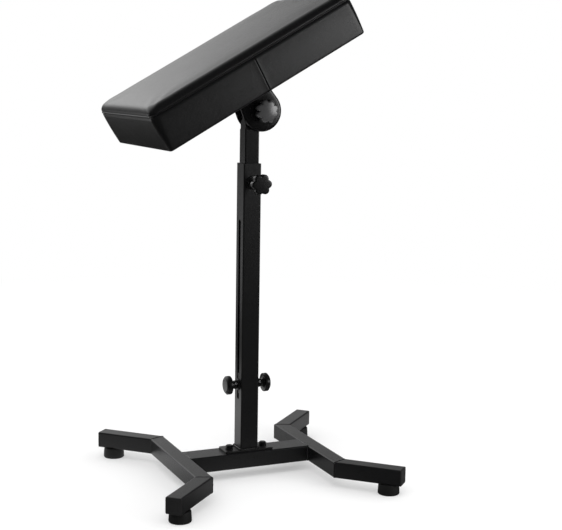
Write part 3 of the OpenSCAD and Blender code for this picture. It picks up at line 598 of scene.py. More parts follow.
@cache
def finish_named(name):
    """One of this stand's finishes, built when it is first asked for."""
    look = bpy.context.scene.arm_rest_looks
    coat, coat_roughness = list(look.coat_colour), look.coat_roughness
    enamel, moulded, rubber = list(look.enamel_colour), list(look.moulded_colour), list(look.rubber_colour)
    # Maker, name, colour, roughness, grain, depth of the grain, then handling marks and clear coat
    recipes = {
        "frame_steel": (coated, "Satin powder coat", coat, coat_roughness, 1100.0, 0.00005),
        "weld_paint": (coated, "Powder coat on welds", coat, coat_roughness - 0.04, 700.0, 0.00008),
        "mast_steel": (coated, "Smooth black enamel", enamel, coat_roughness - 0.07, 500.0, 0.00001),
        "bracket_enamel": (coated, "Gloss black enamel", enamel, 0.16, 400.0, 0.00001, 0.04),
        "black_screws": (coated, "Blackened steel", enamel, 0.34, 1500.0, 0.00001),
        "zinc_steel": (metal, "Zinc-plated steel", (0.62, 0.62, 0.63), 0.3),
        "knob_plastic": (coated, "Black phenolic moulding", moulded, 0.26, 600.0, 0.00001),
        "knob_face": (coated, "Polished phenolic", (0.05, 0.05, 0.051), 0.26, 500.0, 0.000005, 0.05, 1.0),
        "cap_plastic": (coated, "Matt moulded cap", (0.055, 0.055, 0.056), 0.36, 900.0, 0.00001),
        "plug_plastic": (coated, "Black polyethylene", (0.01, 0.01, 0.0102), 0.46, 700.0, 0.00002),
        "guide_plastic": (coated, "Dark nylon", (0.05, 0.05, 0.05), 0.5, 700.0, 0.00002),
        "foot_rubber": (coated, "Black rubber", rubber, 0.62, 900.0, 0.00003),
        "brass_insert": (metal, "Turned brass", (0.72, 0.55, 0.26), 0.28),
        "bush_nylon": (coated, "Natural nylon", (0.6, 0.57, 0.5), 0.45, 600.0, 0.00001),
        "friction_fibre": (fibrous, "Pressed fibre", (0.12, 0.09, 0.06), (0.24, 0.19, 0.14), 0.00003),
        "pad_leather": (leather, "Black artificial leather", list(look.leather_colour),
                        look.leather_roughness),
        "pad_foam": (fibrous, "Upholstery foam", (0.55, 0.5, 0.3), (0.8, 0.74, 0.5), 0.0003, 500.0),
        "pad_wood": (plywood, "Birch plywood"),
        "underside_cloth": (fibrous, "Non-woven dust cloth", (0.008, 0.008, 0.008), (0.03, 0.03, 0.03),
                            0.0001, 700.0),
    }
    maker, *values = recipes[name]
    return maker(*values)


# Places that the frame gives

PIVOT = Vector(JOINTS["pad_tilt"]["pos_m"])


def pad_frame():
    """The tilting frame: its origin is the pivot and X runs along the pad."""
    tilt = bpy.context.scene.arm_rest_pad.tilt
    return Matrix.Translation(PIVOT) @ Matrix.Rotation(-tilt, 4, "Y")


def leg_frame(corner):
    """Frame of a leg's end: Z points out along the leg and X is level."""
    sx, sy = CORNERS[corner]
    low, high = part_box("leg_plug_" + corner)
    half = (high.z - low.z) / 2
    out = Vector((sx, sy, 0)).normalized()
    reach_x = high.x if sx > 0 else low.x
    reach_y = high.y if sy > 0 else low.y
    end = Vector((reach_x - sx * half * abs(out.y), reach_y - sy * half * abs(out.x), (low.z + high.z) / 2))
    turn = Matrix((UP.cross(out), UP, out)).transposed()
    return Matrix.Translation(end) @ turn.to_4x4()


class StandLooks(bpy.types.PropertyGroup):
    """Colours and gloss of the stand's finishes."""

    coat_colour: FloatVectorProperty(
        name="Powder Coat", description="Colour of the base and the post", subtype="COLOR", size=3,
        default=(0.0042, 0.0042, 0.0045), min=0, max=1)
    enamel_colour: FloatVectorProperty(
        name="Enamel", description="Colour of the inner tube, the bracket and the bolts", subtype="COLOR",
        size=3, default=(0.0032, 0.0032, 0.0034), min=0, max=1)
    moulded_colour: FloatVectorProperty(
        name="Moulded Black", description="Colour of the clamp knob and the slot knobs", subtype="COLOR",
        size=3, default=(0.003, 0.003, 0.003), min=0, max=1)
    rubber_colour: FloatVectorProperty(
        name="Rubber", description="Colour of the feet", subtype="COLOR", size=3,
        default=(0.005, 0.005, 0.005), min=0, max=1)
    leather_colour: FloatVectorProperty(
        name="Leather", description="Colour of the pad's cover", subtype="COLOR", size=3,
        default=(0.0038, 0.0038, 0.0041), min=0, max=1)
    coat_roughness: FloatProperty(
        name="Coat Roughness", description="Roughness of the powder coat", default=0.29, min=0.1, max=0.8)
    leather_roughness: FloatProperty(
        name="Leather Roughness", description="Roughness of the pad's cover", default=0.27, min=0.1,
        max=0.8)


class PadSizes(bpy.types.PropertyGroup):
    """Sizes of the upholstered pad."""

    tilt: FloatProperty(
        name="Tilt", description="Angle of the pad from level as the stand is shown", subtype="ANGLE",
        default=math.radians(30))
    corner: FloatProperty(
        name="Corner", description="Radius of the pad's corners in plan", subtype="DISTANCE",
        default=14 * MM)
    side_height: FloatProperty(
        name="Side Height", description="Height of the side panels up to the top seam",
        subtype="DISTANCE", default=65.5 * MM)
    draw_in: FloatProperty(
        name="Draw In", description="How far the sides are drawn in at their foot", subtype="DISTANCE",
        default=3 * MM)
    foot_edge: FloatProperty(
        name="Foot Edge", description="Radius at the foot of the sides", subtype="DISTANCE",
        default=3.5 * MM)
    settle: FloatProperty(
        name="Settle", description="How far the filled top lies below the top of the solid",
        subtype="DISTANCE", default=5.5 * MM, min=0)
    shoulder_run: FloatProperty(
        name="Shoulder Run", description="Width of the rounded shoulder above the seam", subtype="DISTANCE",
        default=11 * MM)
    shoulder_share: FloatProperty(
        name="Shoulder Share", description="Share of the crown's rise that the shoulder takes",
        subtype="FACTOR", default=0.83, min=0.1, max=1)
    foot_corner: FloatProperty(
        name="Foot Corner", description="Radius of the pad's corners at its foot", subtype="DISTANCE",
        default=7 * MM)
    rounding: FloatProperty(
        name="Corner Rounding", description="How fast the crown's corners round off inwards",
        subtype="FACTOR", default=0.5, min=0, max=1)
    seam_place: FloatProperty(
        name="Upright Seam", description="Place of the upright seam along the front side",
        subtype="DISTANCE", default=-16.6 * MM)
    swelling: FloatProperty(
        name="Swelling", description="Most that the simulated filling pushes the cover out",
        subtype="DISTANCE", default=1.6 * MM, min=0)
    crease: FloatProperty(
        name="Crease", description="Depth of the seams' creases", subtype="DISTANCE", default=1.6 * MM)
    welt: FloatProperty(
        name="Welt", description="Radius of the roll above the seam's crease", subtype="DISTANCE",
        default=1.7 * MM)


class WeldSizes(bpy.types.PropertyGroup):
    """Sizes of the weld beads."""

    post: FloatProperty(
        name="Post Bead", description="Radius of the bead round the post's foot", subtype="DISTANCE",
        default=2 * MM)
    corner: FloatProperty(
        name="Corner Bead", description="Radius of the beads between the beam and the cross tubes",
        subtype="DISTANCE", default=2.2 * MM)
    seam: FloatProperty(
        name="Seam Bead", description="Radius of the dressed beads at the mitres", subtype="DISTANCE",
        default=1.5 * MM)
    proud: FloatProperty(
        name="Seam Height", description="Height at which a dressed bead stands proud", subtype="DISTANCE",
        default=0.6 * MM)


class StageSettings(bpy.types.PropertyGroup):
    """Camera and light of the product shot."""

    camera_place: FloatVectorProperty(
        name="Camera", description="Place of the camera", subtype="XYZ", size=3,
        default=(-0.8743, -2.1168, 0.7419))
    camera_yaw: FloatProperty(
        name="Yaw", description="Turn of the view from +Y towards +X", subtype="ANGLE",
        default=math.radians(23.98))
    camera_pitch: FloatProperty(
        name="Pitch", description="How far the view looks down", subtype="ANGLE",
        default=math.radians(8.387))
    camera_roll: FloatProperty(
        name="Roll", description="Roll of the camera", subtype="ANGLE", default=math.radians(0.888))
    lens: FloatProperty(
        name="Lens", description="Focal length on a 36 mm sensor, in millimetres", default=79.61)
    room_light: FloatProperty(
        name="Room Light", description="Brightness of the room's even light", default=0.9, min=0)
    front_gloss: FloatProperty(
        name="Front Gloss", description="Brightness of what is reflected from the camera's side",
        default=0.03, min=0, max=1)
    high_gloss: FloatProperty(
        name="High Gloss", description="Brightness of what is reflected from above the lit backdrop",
        default=0.06, min=0, max=1)
    key_light: FloatProperty(
        name="Key Light", description="Strength of the soft main light", default=0.8, min=0)
    panel_light: FloatProperty(
        name="Panel Light", description="Brightness of the panel beside the camera, as seen in gloss",
        default=4.5, min=0)
    rear_light: FloatProperty(
        name="Rear Panel", description="Brightness of the panel behind the stand, as seen in gloss",
        default=0.5, min=0)


class ArmRestOperator:
    """What this stand's operators share."""

    bl_options = {"REGISTER", "UNDO"}


class ARM_REST_OT_stage(ArmRestOperator, bpy.types.Operator):
    """Pale floor, soft light and the camera of the product shot"""

    bl_idname = "arm_rest.stage"
    bl_label = "Stage and Camera"

    def execute(self, context):
        settings = context.scene.arm_rest_stage
        self.floor()
        self.world(context.scene, settings)
        self.lamps(settings)
        self.camera(context.scene, settings)
        return {"FINISHED"}

    def floor(self):
        floor = added(bpy.ops.mesh.primitive_circle_add, vertices=96, radius=14, fill_type="NGON")
        floor.name = "floor"
        floor.data.materials.append(self.pale_finish())

    def pale_finish(self):
        """White that runs into the backdrop with distance, and a pool of light as gloss sees it."""
        finish, tree, shader, vector = new_finish("Pale floor", (0.96, 0.96, 0.96))
        shader.inputs["Roughness"].default_value = 0.9
        shader.inputs["Specular IOR Level"].default_value = 0.0
        away = tree.nodes.new("ShaderNodeVectorMath")
        away.operation = "LENGTH"
        tree.links.new(vector, away.inputs[0])
        away = away.outputs["Value"]
        seen, mirrored = ray_kinds(tree)
        far = math_node(tree, "MULTIPLY", spread_node(tree, away, 0.9, 2.4, 0.3, 1.0), seen)
        white = tree.nodes.new("ShaderNodeEmission")
        pool = tree.nodes.new("ShaderNodeEmission")
        tree.links.new(self.pool_strength(tree, vector, away), pool.inputs["Strength"])
        lit = mix_shaders(tree, far, shader.outputs[0], white.outputs[0])
        tree.links.new(mix_shaders(tree, mirrored, lit, pool.outputs[0]),
                       tree.nodes["Material Output"].inputs["Surface"])
        return finish

    def pool_strength(self, tree, vector, away):
        """Gloss sees the floor bright to the left behind the stand, dimmer beside it and dark in front."""
        back = spread_node(tree, dot_node(tree, vector, (0.41, 0.91, 0)), -0.2, 0.35, 0.05, 1.0)
        left = spread_node(tree, dot_node(tree, vector, (0.93, 0.37, 0)), -0.05, 0.14, 1.0, 0.0)
        near = spread_node(tree, away, 0.35, 1.0, 0.5, 0.03)
        close = spread_node(tree, away, 0.6, 1.0, 1.3, 0.0)
        start = spread_node(tree, away, 1.4, 2.2, 0.0, 1.0)
        far = math_node(tree, "MULTIPLY", start, spread_node(tree, away, 5.0, 11.0, 0.85, 0.12))
        streak = math_node(tree, "MULTIPLY", left, math_node(tree, "MAXIMUM", close, far))
        return math_node(tree, "MULTIPLY", back, math_node(tree, "MAXIMUM", near, streak))

    def world(self, scene, settings):
        """Even light; reflections see a bright backdrop behind the stand and a dimmer room in front."""
        scene.world = bpy.data.worlds.new("Studio")
        scene.world.use_nodes = True
        tree = scene.world.node_tree
        tree.nodes.clear()
        ray = tree.nodes.new("ShaderNodeTexCoord").outputs["Generated"]
        ahead = (math.sin(settings.camera_yaw), math.cos(settings.camera_yaw), 0)
        behind = spread_node(tree, dot_node(tree, ray, ahead), -0.2, 0.4, 0.0, 1.0)
        across = dot_node(tree, ray, (1, 0, 0))
        up = dot_node(tree, ray, UP)
        # A lit backdrop that ends a little above the horizon, and a glow that fades from left to right
        line = math_node(tree, "MULTIPLY_ADD", across, 0.275, up)
        backdrop = spread_node(tree, line, 0.345, 0.435, 0.9, settings.high_gloss)
        glow = spread_node(tree, across, 0.08, 0.28, 1.1, 0.05)
        horizon = spread_node(tree, up, 0.03, 0.2, 0.12, 1.0)
        band = math_node(tree, "MULTIPLY", horizon, math_node(tree, "MAXIMUM", backdrop, glow))
        gloss = math_node(tree, "MULTIPLY_ADD", behind, band, settings.front_gloss)
        seen, mirrored = ray_kinds(tree)
        lit = mix_node(tree, mirrored, settings.room_light, gloss)
        background = tree.nodes.new("ShaderNodeBackground")
        background.inputs["Color"].default_value = (1, 1, 1, 1)
        tree.links.new(mix_node(tree, seen, lit, 1.0), background.inputs["Strength"])
        out = tree.nodes.new("ShaderNodeOutputWorld")
        tree.links.new(background.outputs[0], out.inputs["Surface"])

    def lamp(self, kind, name, place, direction):
        lamp = added(bpy.ops.object.light_add, type=kind, location=place)
        lamp.name = name
        lamp.rotation_mode = "QUATERNION"
        lamp.rotation_quaternion = direction.to_track_quat("-Z", "Y")
        return lamp

    def lamps(self, settings):
        """A broad soft light from the upper left, a weaker one from the right, and two bright panels."""
        for name, direction, strength, angle in (
                ("key", (0.45, 0.5, -0.85), settings.key_light, 50),
                ("fill", (-0.7, 0.1, -0.7), settings.key_light * 0.25, 60)):
            lamp = self.lamp("SUN", name, (0, 0, 3), Vector(direction))
            lamp.data.energy = strength
            lamp.data.angle = math.radians(angle)
            lamp.visible_glossy = False
        aim = Vector((0, 0, 0.7))
        for name, place, size, gleam in (
                ("side_panel", (1.88, -2.27, 0.95), (1.05, 1.1), settings.panel_light),
                ("rear_panel", (-0.5, 2.8, 1.75), (1.5, 0.8), settings.rear_light)):
            lamp = self.lamp("AREA", name, place, aim - Vector(place))
            lamp.data.shape = "RECTANGLE"
            lamp.data.size, lamp.data.size_y = size
            lamp.data.energy = gleam * math.pi * size[0] * size[1]
            lamp.visible_camera = False

    def camera(self, scene, settings):
        yaw, pitch = settings.camera_yaw, settings.camera_pitch
        forward = Vector((math.sin(yaw), math.cos(yaw), 0)) * math.cos(pitch) - UP * math.sin(pitch)
        level = Vector((math.cos(yaw), -math.sin(yaw), 0))
        upright = level.cross(forward)
        right = level * math.cos(settings.camera_roll) + upright * math.sin(settings.camera_roll)
        top = right.cross(forward)
        turn = Matrix((right, top, -forward)).transposed()
        camera = added(bpy.ops.object.camera_add)
        camera.name = "camera"
        camera.matrix_world = Matrix.Translation(settings.camera_place) @ turn.to_4x4()
        camera.data.sensor_fit = "HORIZONTAL"
        camera.data.sensor_width = 36
        camera.data.lens = settings.lens
        camera.data.clip_start = 0.01
        camera.data.clip_end = 100
        scene.camera = camera


class ARM_REST_OT_finishes(ArmRestOperator, bpy.types.Operator):
    """Gives every carried-over node the finish of its material slot"""

    bl_idname = "arm_rest.finishes"
    bl_label = "Frame Finishes"

    def execute(self, context):
        for subpart in frame["record"]["subparts"]:
            finish = subpart["material_slot"]
            # The head on the inner tube is as glossy as the bracket that it carries
            if subpart["node"] == "pivot_head":
                finish = "bracket_enamel"
            for place in NODES[subpart["node"]].material_slots:
                place.material = finish_named(finish)
        return {"FINISHED"}


class ARM_REST_OT_welds(ArmRestOperator, bpy.types.Operator):
    """Weld beads of the base, the post's foot and the clamp boss"""

    bl_idname = "arm_rest.welds"
    bl_label = "Weld Beads"

    def execute(self, context):
        sizes = context.scene.arm_rest_welds
        self.base_welds(sizes)
        self.mitre_seams(sizes)
        self.post_weld(sizes)
        self.boss_weld()
        return {"FINISHED"}

    def base_welds(self, sizes):
        """Upright beads in the corners, and dressed seams over and under the beam's ends."""
        low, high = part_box("base_beam")
        runs = []
        for sx in (-1, 1):
            x = sx * (high.x - 0.5 * MM)
            for sy in (-1, 1):
                y = sy * (high.y + 0.5 * MM)
                points = line_points((x, y, low.z + 2.5 * MM), (x, y, high.z - 2.5 * MM), 40)
                runs.append(bead(points, sizes.corner, "upright_bead", closed=False))
            for z in (high.z, low.z):
                inside = -1 if z == high.z else 1
                reach = high.y - 2 * MM
                end = Vector((sx * (high.x + 0.4 * MM), reach, z + inside * (sizes.seam - sizes.proud)))
                points = line_points((end.x, -reach, end.z), end, 90)
                runs.append(bead(points, sizes.seam, "level_bead", closed=False, ripple=0.06))
        seat_piece(join(runs), "beam_weld_beads", "base", "weld_paint", nodes=("base_welds",))

    def mitre_seams(self, sizes):
        """Dressed seam round the mitre between a cross tube and a leg."""
        for corner, (sx, sy) in CORNERS.items():
            low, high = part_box("cross_tube_left" if sx < 0 else "cross_tube_right")
            height = high.z - low.z
            lean = math.radians(22.5)
            along = Vector((sx * math.cos(lean), -sy * math.sin(lean), 0))
            width = height / math.cos(lean)
            # The cross tube's box ends at the mitre's inner corner
            inner = Vector((low.x if sx > 0 else high.x, high.y if sy > 0 else low.y, (low.z + high.z) / 2))
            centre = inner + along * width / 2
            inset = sizes.seam - sizes.proud
            path = rounded_path(width - 2 * inset, height - 2 * inset, 2 * MM)
            points = [centre + along * across + UP * up for across, up in path]
            seat_piece(bead(points, sizes.seam, "seam", ripple=0.05), "mitre_seam_" + corner, "base",
                       "weld_paint")

    def post_weld(self, sizes):
        low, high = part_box("outer_post")
        half = high.x
        path = rounded_path(2 * half + 1.6 * MM, 2 * half + 1.6 * MM, 3 * MM)
        points = [(x, y, low.z + 0.9 * MM) for x, y in path]
        piece = bead(points, sizes.post, "post_bead", ripple=0.2)
        seat_piece(piece, "post_weld_bead", "base", "weld_paint", nodes=("post_weld",))

    def boss_weld(self):
        """Bead round the threaded boss on the post's front."""
        centre = middle("clamp_boss")
        radius = span("clamp_boss").x / 2
        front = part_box("outer_post")[0].y
        gap = 0.3 * MM
        ring = arc_rows((centre.x, centre.z), radius + gap, 0, 360, 150)[:-1]
        piece = bead([(x, front - gap, z) for x, z in ring], 1.4 * MM, "boss_bead")
        seat_piece(piece, "boss_weld_bead", "base", "weld_paint")


class ARM_REST_OT_feet(ArmRestOperator, bpy.types.Operator):
    """Round rubber feet with a recess for the screw's head"""

    bl_idname = "arm_rest.feet"
    bl_label = "Rubber Feet"

    def execute(self, context):
        for corner in CORNERS:
            node = "foot_" + corner
            place = middle(node)
            size = span(node)
            radius = size.x / 2
            recess = 8 * MM
            deep = 9 * MM
            bore = 3.2 * MM
            low_rim, top_rim = 2.6 * MM, 2 * MM
            rows = [(bore, deep), (recess - 0.8 * MM, deep), (recess, deep - 0.8 * MM),
                    (recess, 0.6 * MM), (recess + 0.6 * MM, 0)]
            rows += arc_rows((radius - low_rim, low_rim), low_rim, -90, 0, 6)
            rows.append((radius - 0.3 * MM, size.z * 0.5))
            rows += arc_rows((radius - 2.9 * MM, size.z - top_rim), top_rim, 0, 90, 5)
            rows += [(bore, size.z), (bore, deep)]
            seat_piece(turned(rows, 64, closed=True), "rubber_foot_" + corner, "base", "foot_rubber",
                       Matrix.Translation((place.x, place.y, 0)), (node,))
        return {"FINISHED"}


class ARM_REST_OT_plugs(ArmRestOperator, bpy.types.Operator):
    """Moulded plugs in the legs' ends"""

    bl_idname = "arm_rest.plugs"
    bl_label = "Leg Plugs"

    def execute(self, context):
        for corner in CORNERS:
            node = "leg_plug_" + corner
            piece = self.plug(span(node).z / 2)
            seat_piece(piece, "plug_" + corner, "base", "plug_plastic", leg_frame(corner), (node,))
        return {"FINISHED"}

    def plug(self, half):
        """A hollow insert and its cap, with rounded edges and a shallow field in the face."""
        cap = 3 * MM
        insert = half - 2.25 * MM
        corner = 2.4 * MM
        depth = 16 * MM
        rows = [(insert - 2 * MM, corner / 3, -cap), (insert - 2 * MM, corner / 3, -depth),
                (insert - 0.6 * MM, corner / 3, -depth), (insert, corner / 2, -depth + 3 * MM),
                (insert, corner / 2, -cap), (half - 0.3 * MM, corner, -cap),
                (half, corner, -cap + 0.3 * MM)]
        for reach, height in arc_rows((half - 1.2 * MM, -1.2 * MM), 1.2 * MM, 0, 90, 5):
            rows.append((reach, corner, height))
        field = half - 4.4 * MM
        rows += [(field, corner * 0.7, 0), (field - 0.4 * MM, corner * 0.6, -0.35 * MM),
                 (field * 0.5, corner * 0.4, -0.35 * MM)]
        return ring_stack(4 * 7, rows, square_point(6), angle=35)


class ARM_REST_OT_flange(ArmRestOperator, bpy.types.Operator):
    """Flange plate under the post, with its two bolts and washers"""

    bl_idname = "arm_rest.flange"
    bl_label = "Flange and Bolts"

    def execute(self, context):
        low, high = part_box("post_flange")
        plate = block(high - low, (low + high) / 2)
        round_upright_edges(plate, (high.y - low.y) / 12, 6)
        soften(plate, 0.7 * MM)
        seat_piece(plate, "flange_plate", "base", "frame_steel", nodes=("post_flange",))
        washer_low, washer_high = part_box("flange_washers")
        bolt_low, bolt_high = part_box("flange_bolts")
        outer = (washer_high.y - washer_low.y) / 2
        across = (bolt_high.y - bolt_low.y) / 2
        pitch = washer_high.x - outer
        washers, bolts = [], []
        for side in SIDES.values():
            place = Matrix.Translation((side * pitch, 0, washer_low.z))
            washers.append(self.washer(outer, washer_high.z - washer_low.z, place))
            place = Matrix.Translation((side * pitch, 0, washer_high.z))
            bolts.append(self.bolt(across, bolt_high.z - washer_high.z, washer_high.z - bolt_low.z, place))
        seat_piece(join(washers), "flange_washer_pair", "base", "black_screws", nodes=("flange_washers",))
        seat_piece(join(bolts), "flange_bolt_pair", "base", "black_screws", nodes=("flange_bolts",))
        return {"FINISHED"}

    def washer(self, outer, height, place):
        edge = 0.3 * MM
        bore = 4.2 * MM
        rows = [(bore, edge), (bore + edge, 0), (outer - edge, 0), (outer, edge), (outer, height - edge),
                (outer - edge, height), (bore + edge, height), (bore, height - edge), (bore, edge)]
        piece = turned(rows, 48, closed=True)
        piece.data.transform(place)
        return piece

    def bolt(self, across, height, shank, place):
        """Hexagon head with a turned chamfer and a shallow dish, on its shank."""
        half = across * 0.93
        tip = half / math.cos(math.pi / 6)
        thread = 4 * MM
        dish = height - 0.4 * MM
        rows = [(half, -shank, thread), (half, 0, thread), (half, 0, half * 1.02), (half, 0.4 * MM, tip),
                (half, height * 0.62, tip), (half, height * 0.84, half * 1.06),
                (half, height * 0.96, half * 0.94), (half, height, half * 0.82),
                (half, height, half * 0.62), (half, dish, half * 0.55), (half, dish, half * 0.2)]
        piece = ring_stack(60, rows, hexagon_point, angle=25)
        piece.data.transform(place)
        return piece


# Rounded edge of a moulded grip, as shares inwards and upwards
EDGE_ARC = ((1, 0), (0.62, 0.08), (0.29, 0.3), (0.08, 0.62), (0, 1))


def knob_rows(neck, neck_top, neck_height, radius, height, wall, hollow, edge):
    """Rows of a moulded lobed knob, from its hub over the hollow back to the face."""
    grip = height - neck_height
    rows = [(neck, 0, 0, 0), (neck + 0.3 * MM, 0.4 * MM, 0, 0), (neck_top, neck_height, 0, 0),
            (neck_top + 0.6 * MM, neck_height + hollow - 0.6 * MM, 0, 0),
            (neck_top + 1.2 * MM, neck_height + hollow, 0.1, 0),
            (radius - wall - 0.6 * MM, neck_height + hollow, 1, 0),
            (radius - wall, neck_height + hollow - 0.6 * MM, 1, 0),
            (radius - wall, neck_height + 0.5 * MM, 1, 0),
            (radius - wall + 0.5 * MM, neck_height, 1, 0)]
    for inset, rise in EDGE_ARC:
        rows.append((radius - edge * inset, neck_height + edge * rise, 1, 0))
    rows.append((radius, neck_height + grip / 2, 1, 0.3))
    for inset, drop in reversed(EDGE_ARC):
        rows.append((radius - edge * inset, height - edge * drop, 1, 1))
    for share in (0.9, 0.75, 0.6, 0.45, 0.3, 0.15, 0.04):
        rows.append(((radius - edge) * share, height, share, 1))
    return rows


def lobed_knob(lobes, turn, radius, height, neck, neck_height, dome):
    """A moulded knob with round lobes, a domed face, a hub and ribs in its hollow back."""
    depth = 0.22 * radius
    wall = 2.5 * MM
    hollow = 4 * MM
    edge = (height - neck_height) / 5.5
    rows = knob_rows(neck, neck * 1.15, neck_height, radius, height, wall, hollow, edge)
    pieces = [ring_stack(24 * lobes, rows, lobed_point(lobes, depth, turn, radius, dome))]
    outer = radius - wall / 2
    rib_width = 1.25 * MM
    for number in range(lobes):
        rib = block((outer - neck, rib_width, hollow),
                    ((neck + outer) / 2, 0, neck_height + hollow / 2 + 0.4 * MM))
        rib.data.transform(Matrix.Rotation(turn + TAU * number / lobes, 4, "Z"))
        pieces.append(rib)
    knob = join(pieces)
    smooth(knob, 40)
    return knob


class ARM_REST_OT_clamp_knob(ArmRestOperator, bpy.types.Operator):
    """Six-lobed knob and threaded stud that clamp the inner tube"""

    bl_idname = "arm_rest.clamp_knob"
    bl_label = "Clamp Knob"

    def execute(self, context):
        low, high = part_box("star_knob")
        place = facing((0, -1, 0), (0, high.y, middle("star_knob_stud").z))
        height = high.y - low.y
        radius = 19.5 * MM
        knob = lobed_knob(lobes=6, turn=math.radians(4), radius=radius, height=height, neck=radius * 0.42,
                          neck_height=height * 0.52, dome=0.4 * MM)
        seat_piece(knob, "clamp_knob_moulding", "clamp_knob", "knob_plastic", place, ("star_knob",))
        stud_low, stud_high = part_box("star_knob_stud")
        stud = threaded_stud(span("star_knob_stud").x / 2, stud_high.y - stud_low.y)
        place = facing((0, -1, 0), (0, stud_high.y, middle("star_knob_stud").z))
        seat_piece(stud, "clamp_stud", "clamp_knob", "zinc_steel", place, ("star_knob_stud",))
        return {"FINISHED"}


def threaded_stud(radius, length, pitch=1.25 * MM):
    """A stud with thread grooves and a pointed lead-in at its lower end."""
    root = radius - pitch * 0.45
    rows = [(root * 0.7, 0), (root, 0.8 * MM)]
    height = 1.2 * MM
    while height < length - 1.5 * pitch:
        rows += [(root, height), (radius, height + pitch * 0.42), (radius, height + pitch * 0.55)]
        height += pitch
    rows += [(root, height), (root, length)]
    return turned(rows, 40, angle=50)


class ARM_REST_OT_slot_knobs(ArmRestOperator, bpy.types.Operator):
    """Round knobs on the rod through the slots, with collars, caps and grub screws"""

    bl_idname = "arm_rest.slot_knobs"
    bl_label = "Slot Knobs"

    neck_share = 0.47

    def execute(self, context):
        rod = middle("slot_rod")
        for name, side in SIDES.items():
            for node, piece_name, make, slot in (
                    ("slot_knob_", "round_knob_", self.knob, "knob_plastic"),
                    ("slot_knob_cap_", "knob_cap_", self.cap, "cap_plastic")):
                low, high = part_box(node + name)
                piece = make((high.z - low.z) / 2, high.x - low.x)
                place = self.rod_frame(rod, side, low.x if side > 0 else high.x)
                seat_piece(piece, piece_name + name, name + "_slot_knob", slot, place, (node + name,))
            self.collar(name, side, rod)
            self.grub_screw(name, side, rod)
        return {"FINISHED"}

    def rod_frame(self, rod, side, x):
        """Frame on the rod whose Z axis points out to a side."""
        return facing((side, 0, 0), (x, rod.y, rod.z))

    def knob(self, radius, length):
        """Waisted neck that flares into a grip; the front slopes back from the cap to the rim."""
        neck = radius * self.neck_share
        waist = length * 12 / 23
        bore = 6.02 * MM
        rim = 1.5 * MM
        recess = radius * 0.72 + 0.02 * MM
        lip = recess + 0.6 * MM
        slope = (length - waist) * 0.3
        rows = [(0.2 * MM, length * 0.75), (bore, length * 0.75), (bore, 0.3 * MM), (bore + 0.3 * MM, 0)]
        for width, rise in ((0.92, 0), (0.97, 0.5 * MM), (1, 1.6 * MM), (1, waist * 0.36),
                            (0.97, waist * 0.42), (0.88, waist * 0.48), (0.88, waist * 0.7),
                            (0.92, waist * 0.8), (1.02, waist * 0.88), (1.3, waist * 0.95)):
            rows.append((neck * width, rise))
        rows.append((radius - 2 * rim, waist))
        rows += arc_rows((radius - rim, waist + rim), rim, -90, 0, 4)
        rows += [(radius, length - slope - 0.6 * MM), (radius - 0.25 * MM, length - slope + 0.2 * MM),
                 (radius - 1.2 * MM, length - slope * 0.72), (lip + 0.6 * MM, length - 0.25 * MM),
                 (lip, length), (recess, length - 0.3 * MM), (recess, length - 1.2 * MM),
                 (0.2 * MM, length - 1.2 * MM)]
        return turned(rows, 72, angle=40)

    def cap(self, radius, height):
        rows = [(radius, 0), (radius, height * 0.62), (radius - 0.25 * MM, height * 0.8),
                (radius - 0.9 * MM, height * 0.92), (radius * 0.7, height * 0.985), (radius * 0.35, height)]
        return turned(rows, 64, angle=40)

    def collar(self, name, side, rod):
        """Flanged collar on the slot's edges, with its boss in the slot."""
        low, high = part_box("slot_collar_" + name)
        radius = (high.z - low.z) / 2
        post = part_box("outer_post")[1].x
        outside = high.x if side > 0 else -low.x
        inside = low.x if side > 0 else -high.x
        gap = 0.1 * MM
        thick = outside - post - gap
        boss = post + gap - inside
        slot_half = 4.8 * MM
        bore = 4.05 * MM
        rows = [(bore, -boss), (slot_half - 0.3 * MM, -boss), (slot_half, -boss + 0.3 * MM), (slot_half, 0),
                (radius - 0.4 * MM, 0), (radius, 0.4 * MM), (radius - 0.2 * MM, thick * 0.5),
                (radius - 0.6 * MM, thick * 0.85), (radius - 1.4 * MM, thick), (bore, thick), (bore, -boss)]
        piece = turned(rows, 64, closed=True, angle=40)
        place = self.rod_frame(rod, side, side * (post + gap))
        seat_piece(piece, "slot_collar_" + name + "_turned", "mast", "black_screws", place,
                   ("slot_collar_" + name,))

    def grub_screw(self, name, side, rod):
        """Socket screw that fixes the neck to the rod, seen from the front."""
        low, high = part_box("slot_knob_" + name)
        foot = low.x if side > 0 else high.x
        neck = (high.z - low.z) / 2 * self.neck_share
        lean = math.radians(25)
        out = Vector((0, -math.cos(lean), math.sin(lean)))
        radius = 2.5 * MM
        socket = 1.25 * MM
        # So wide that only the limit of the radius counts, which leaves the outside round
        wide = radius * 4
        rows = [(wide, -3 * MM, radius), (wide, 0.2 * MM, radius), (wide, 0.5 * MM, radius - 0.35 * MM),
                (socket, 0.5 * MM, math.inf), (socket, -1 * MM, math.inf)]
        piece = ring_stack(48, rows, hexagon_point, angle=30)
        place = facing(out, Vector((foot + side * 3.2 * MM, rod.y, rod.z)) + out * neck)
        seat_piece(piece, "grub_screw_" + name, name + "_slot_knob", "zinc_steel", place)


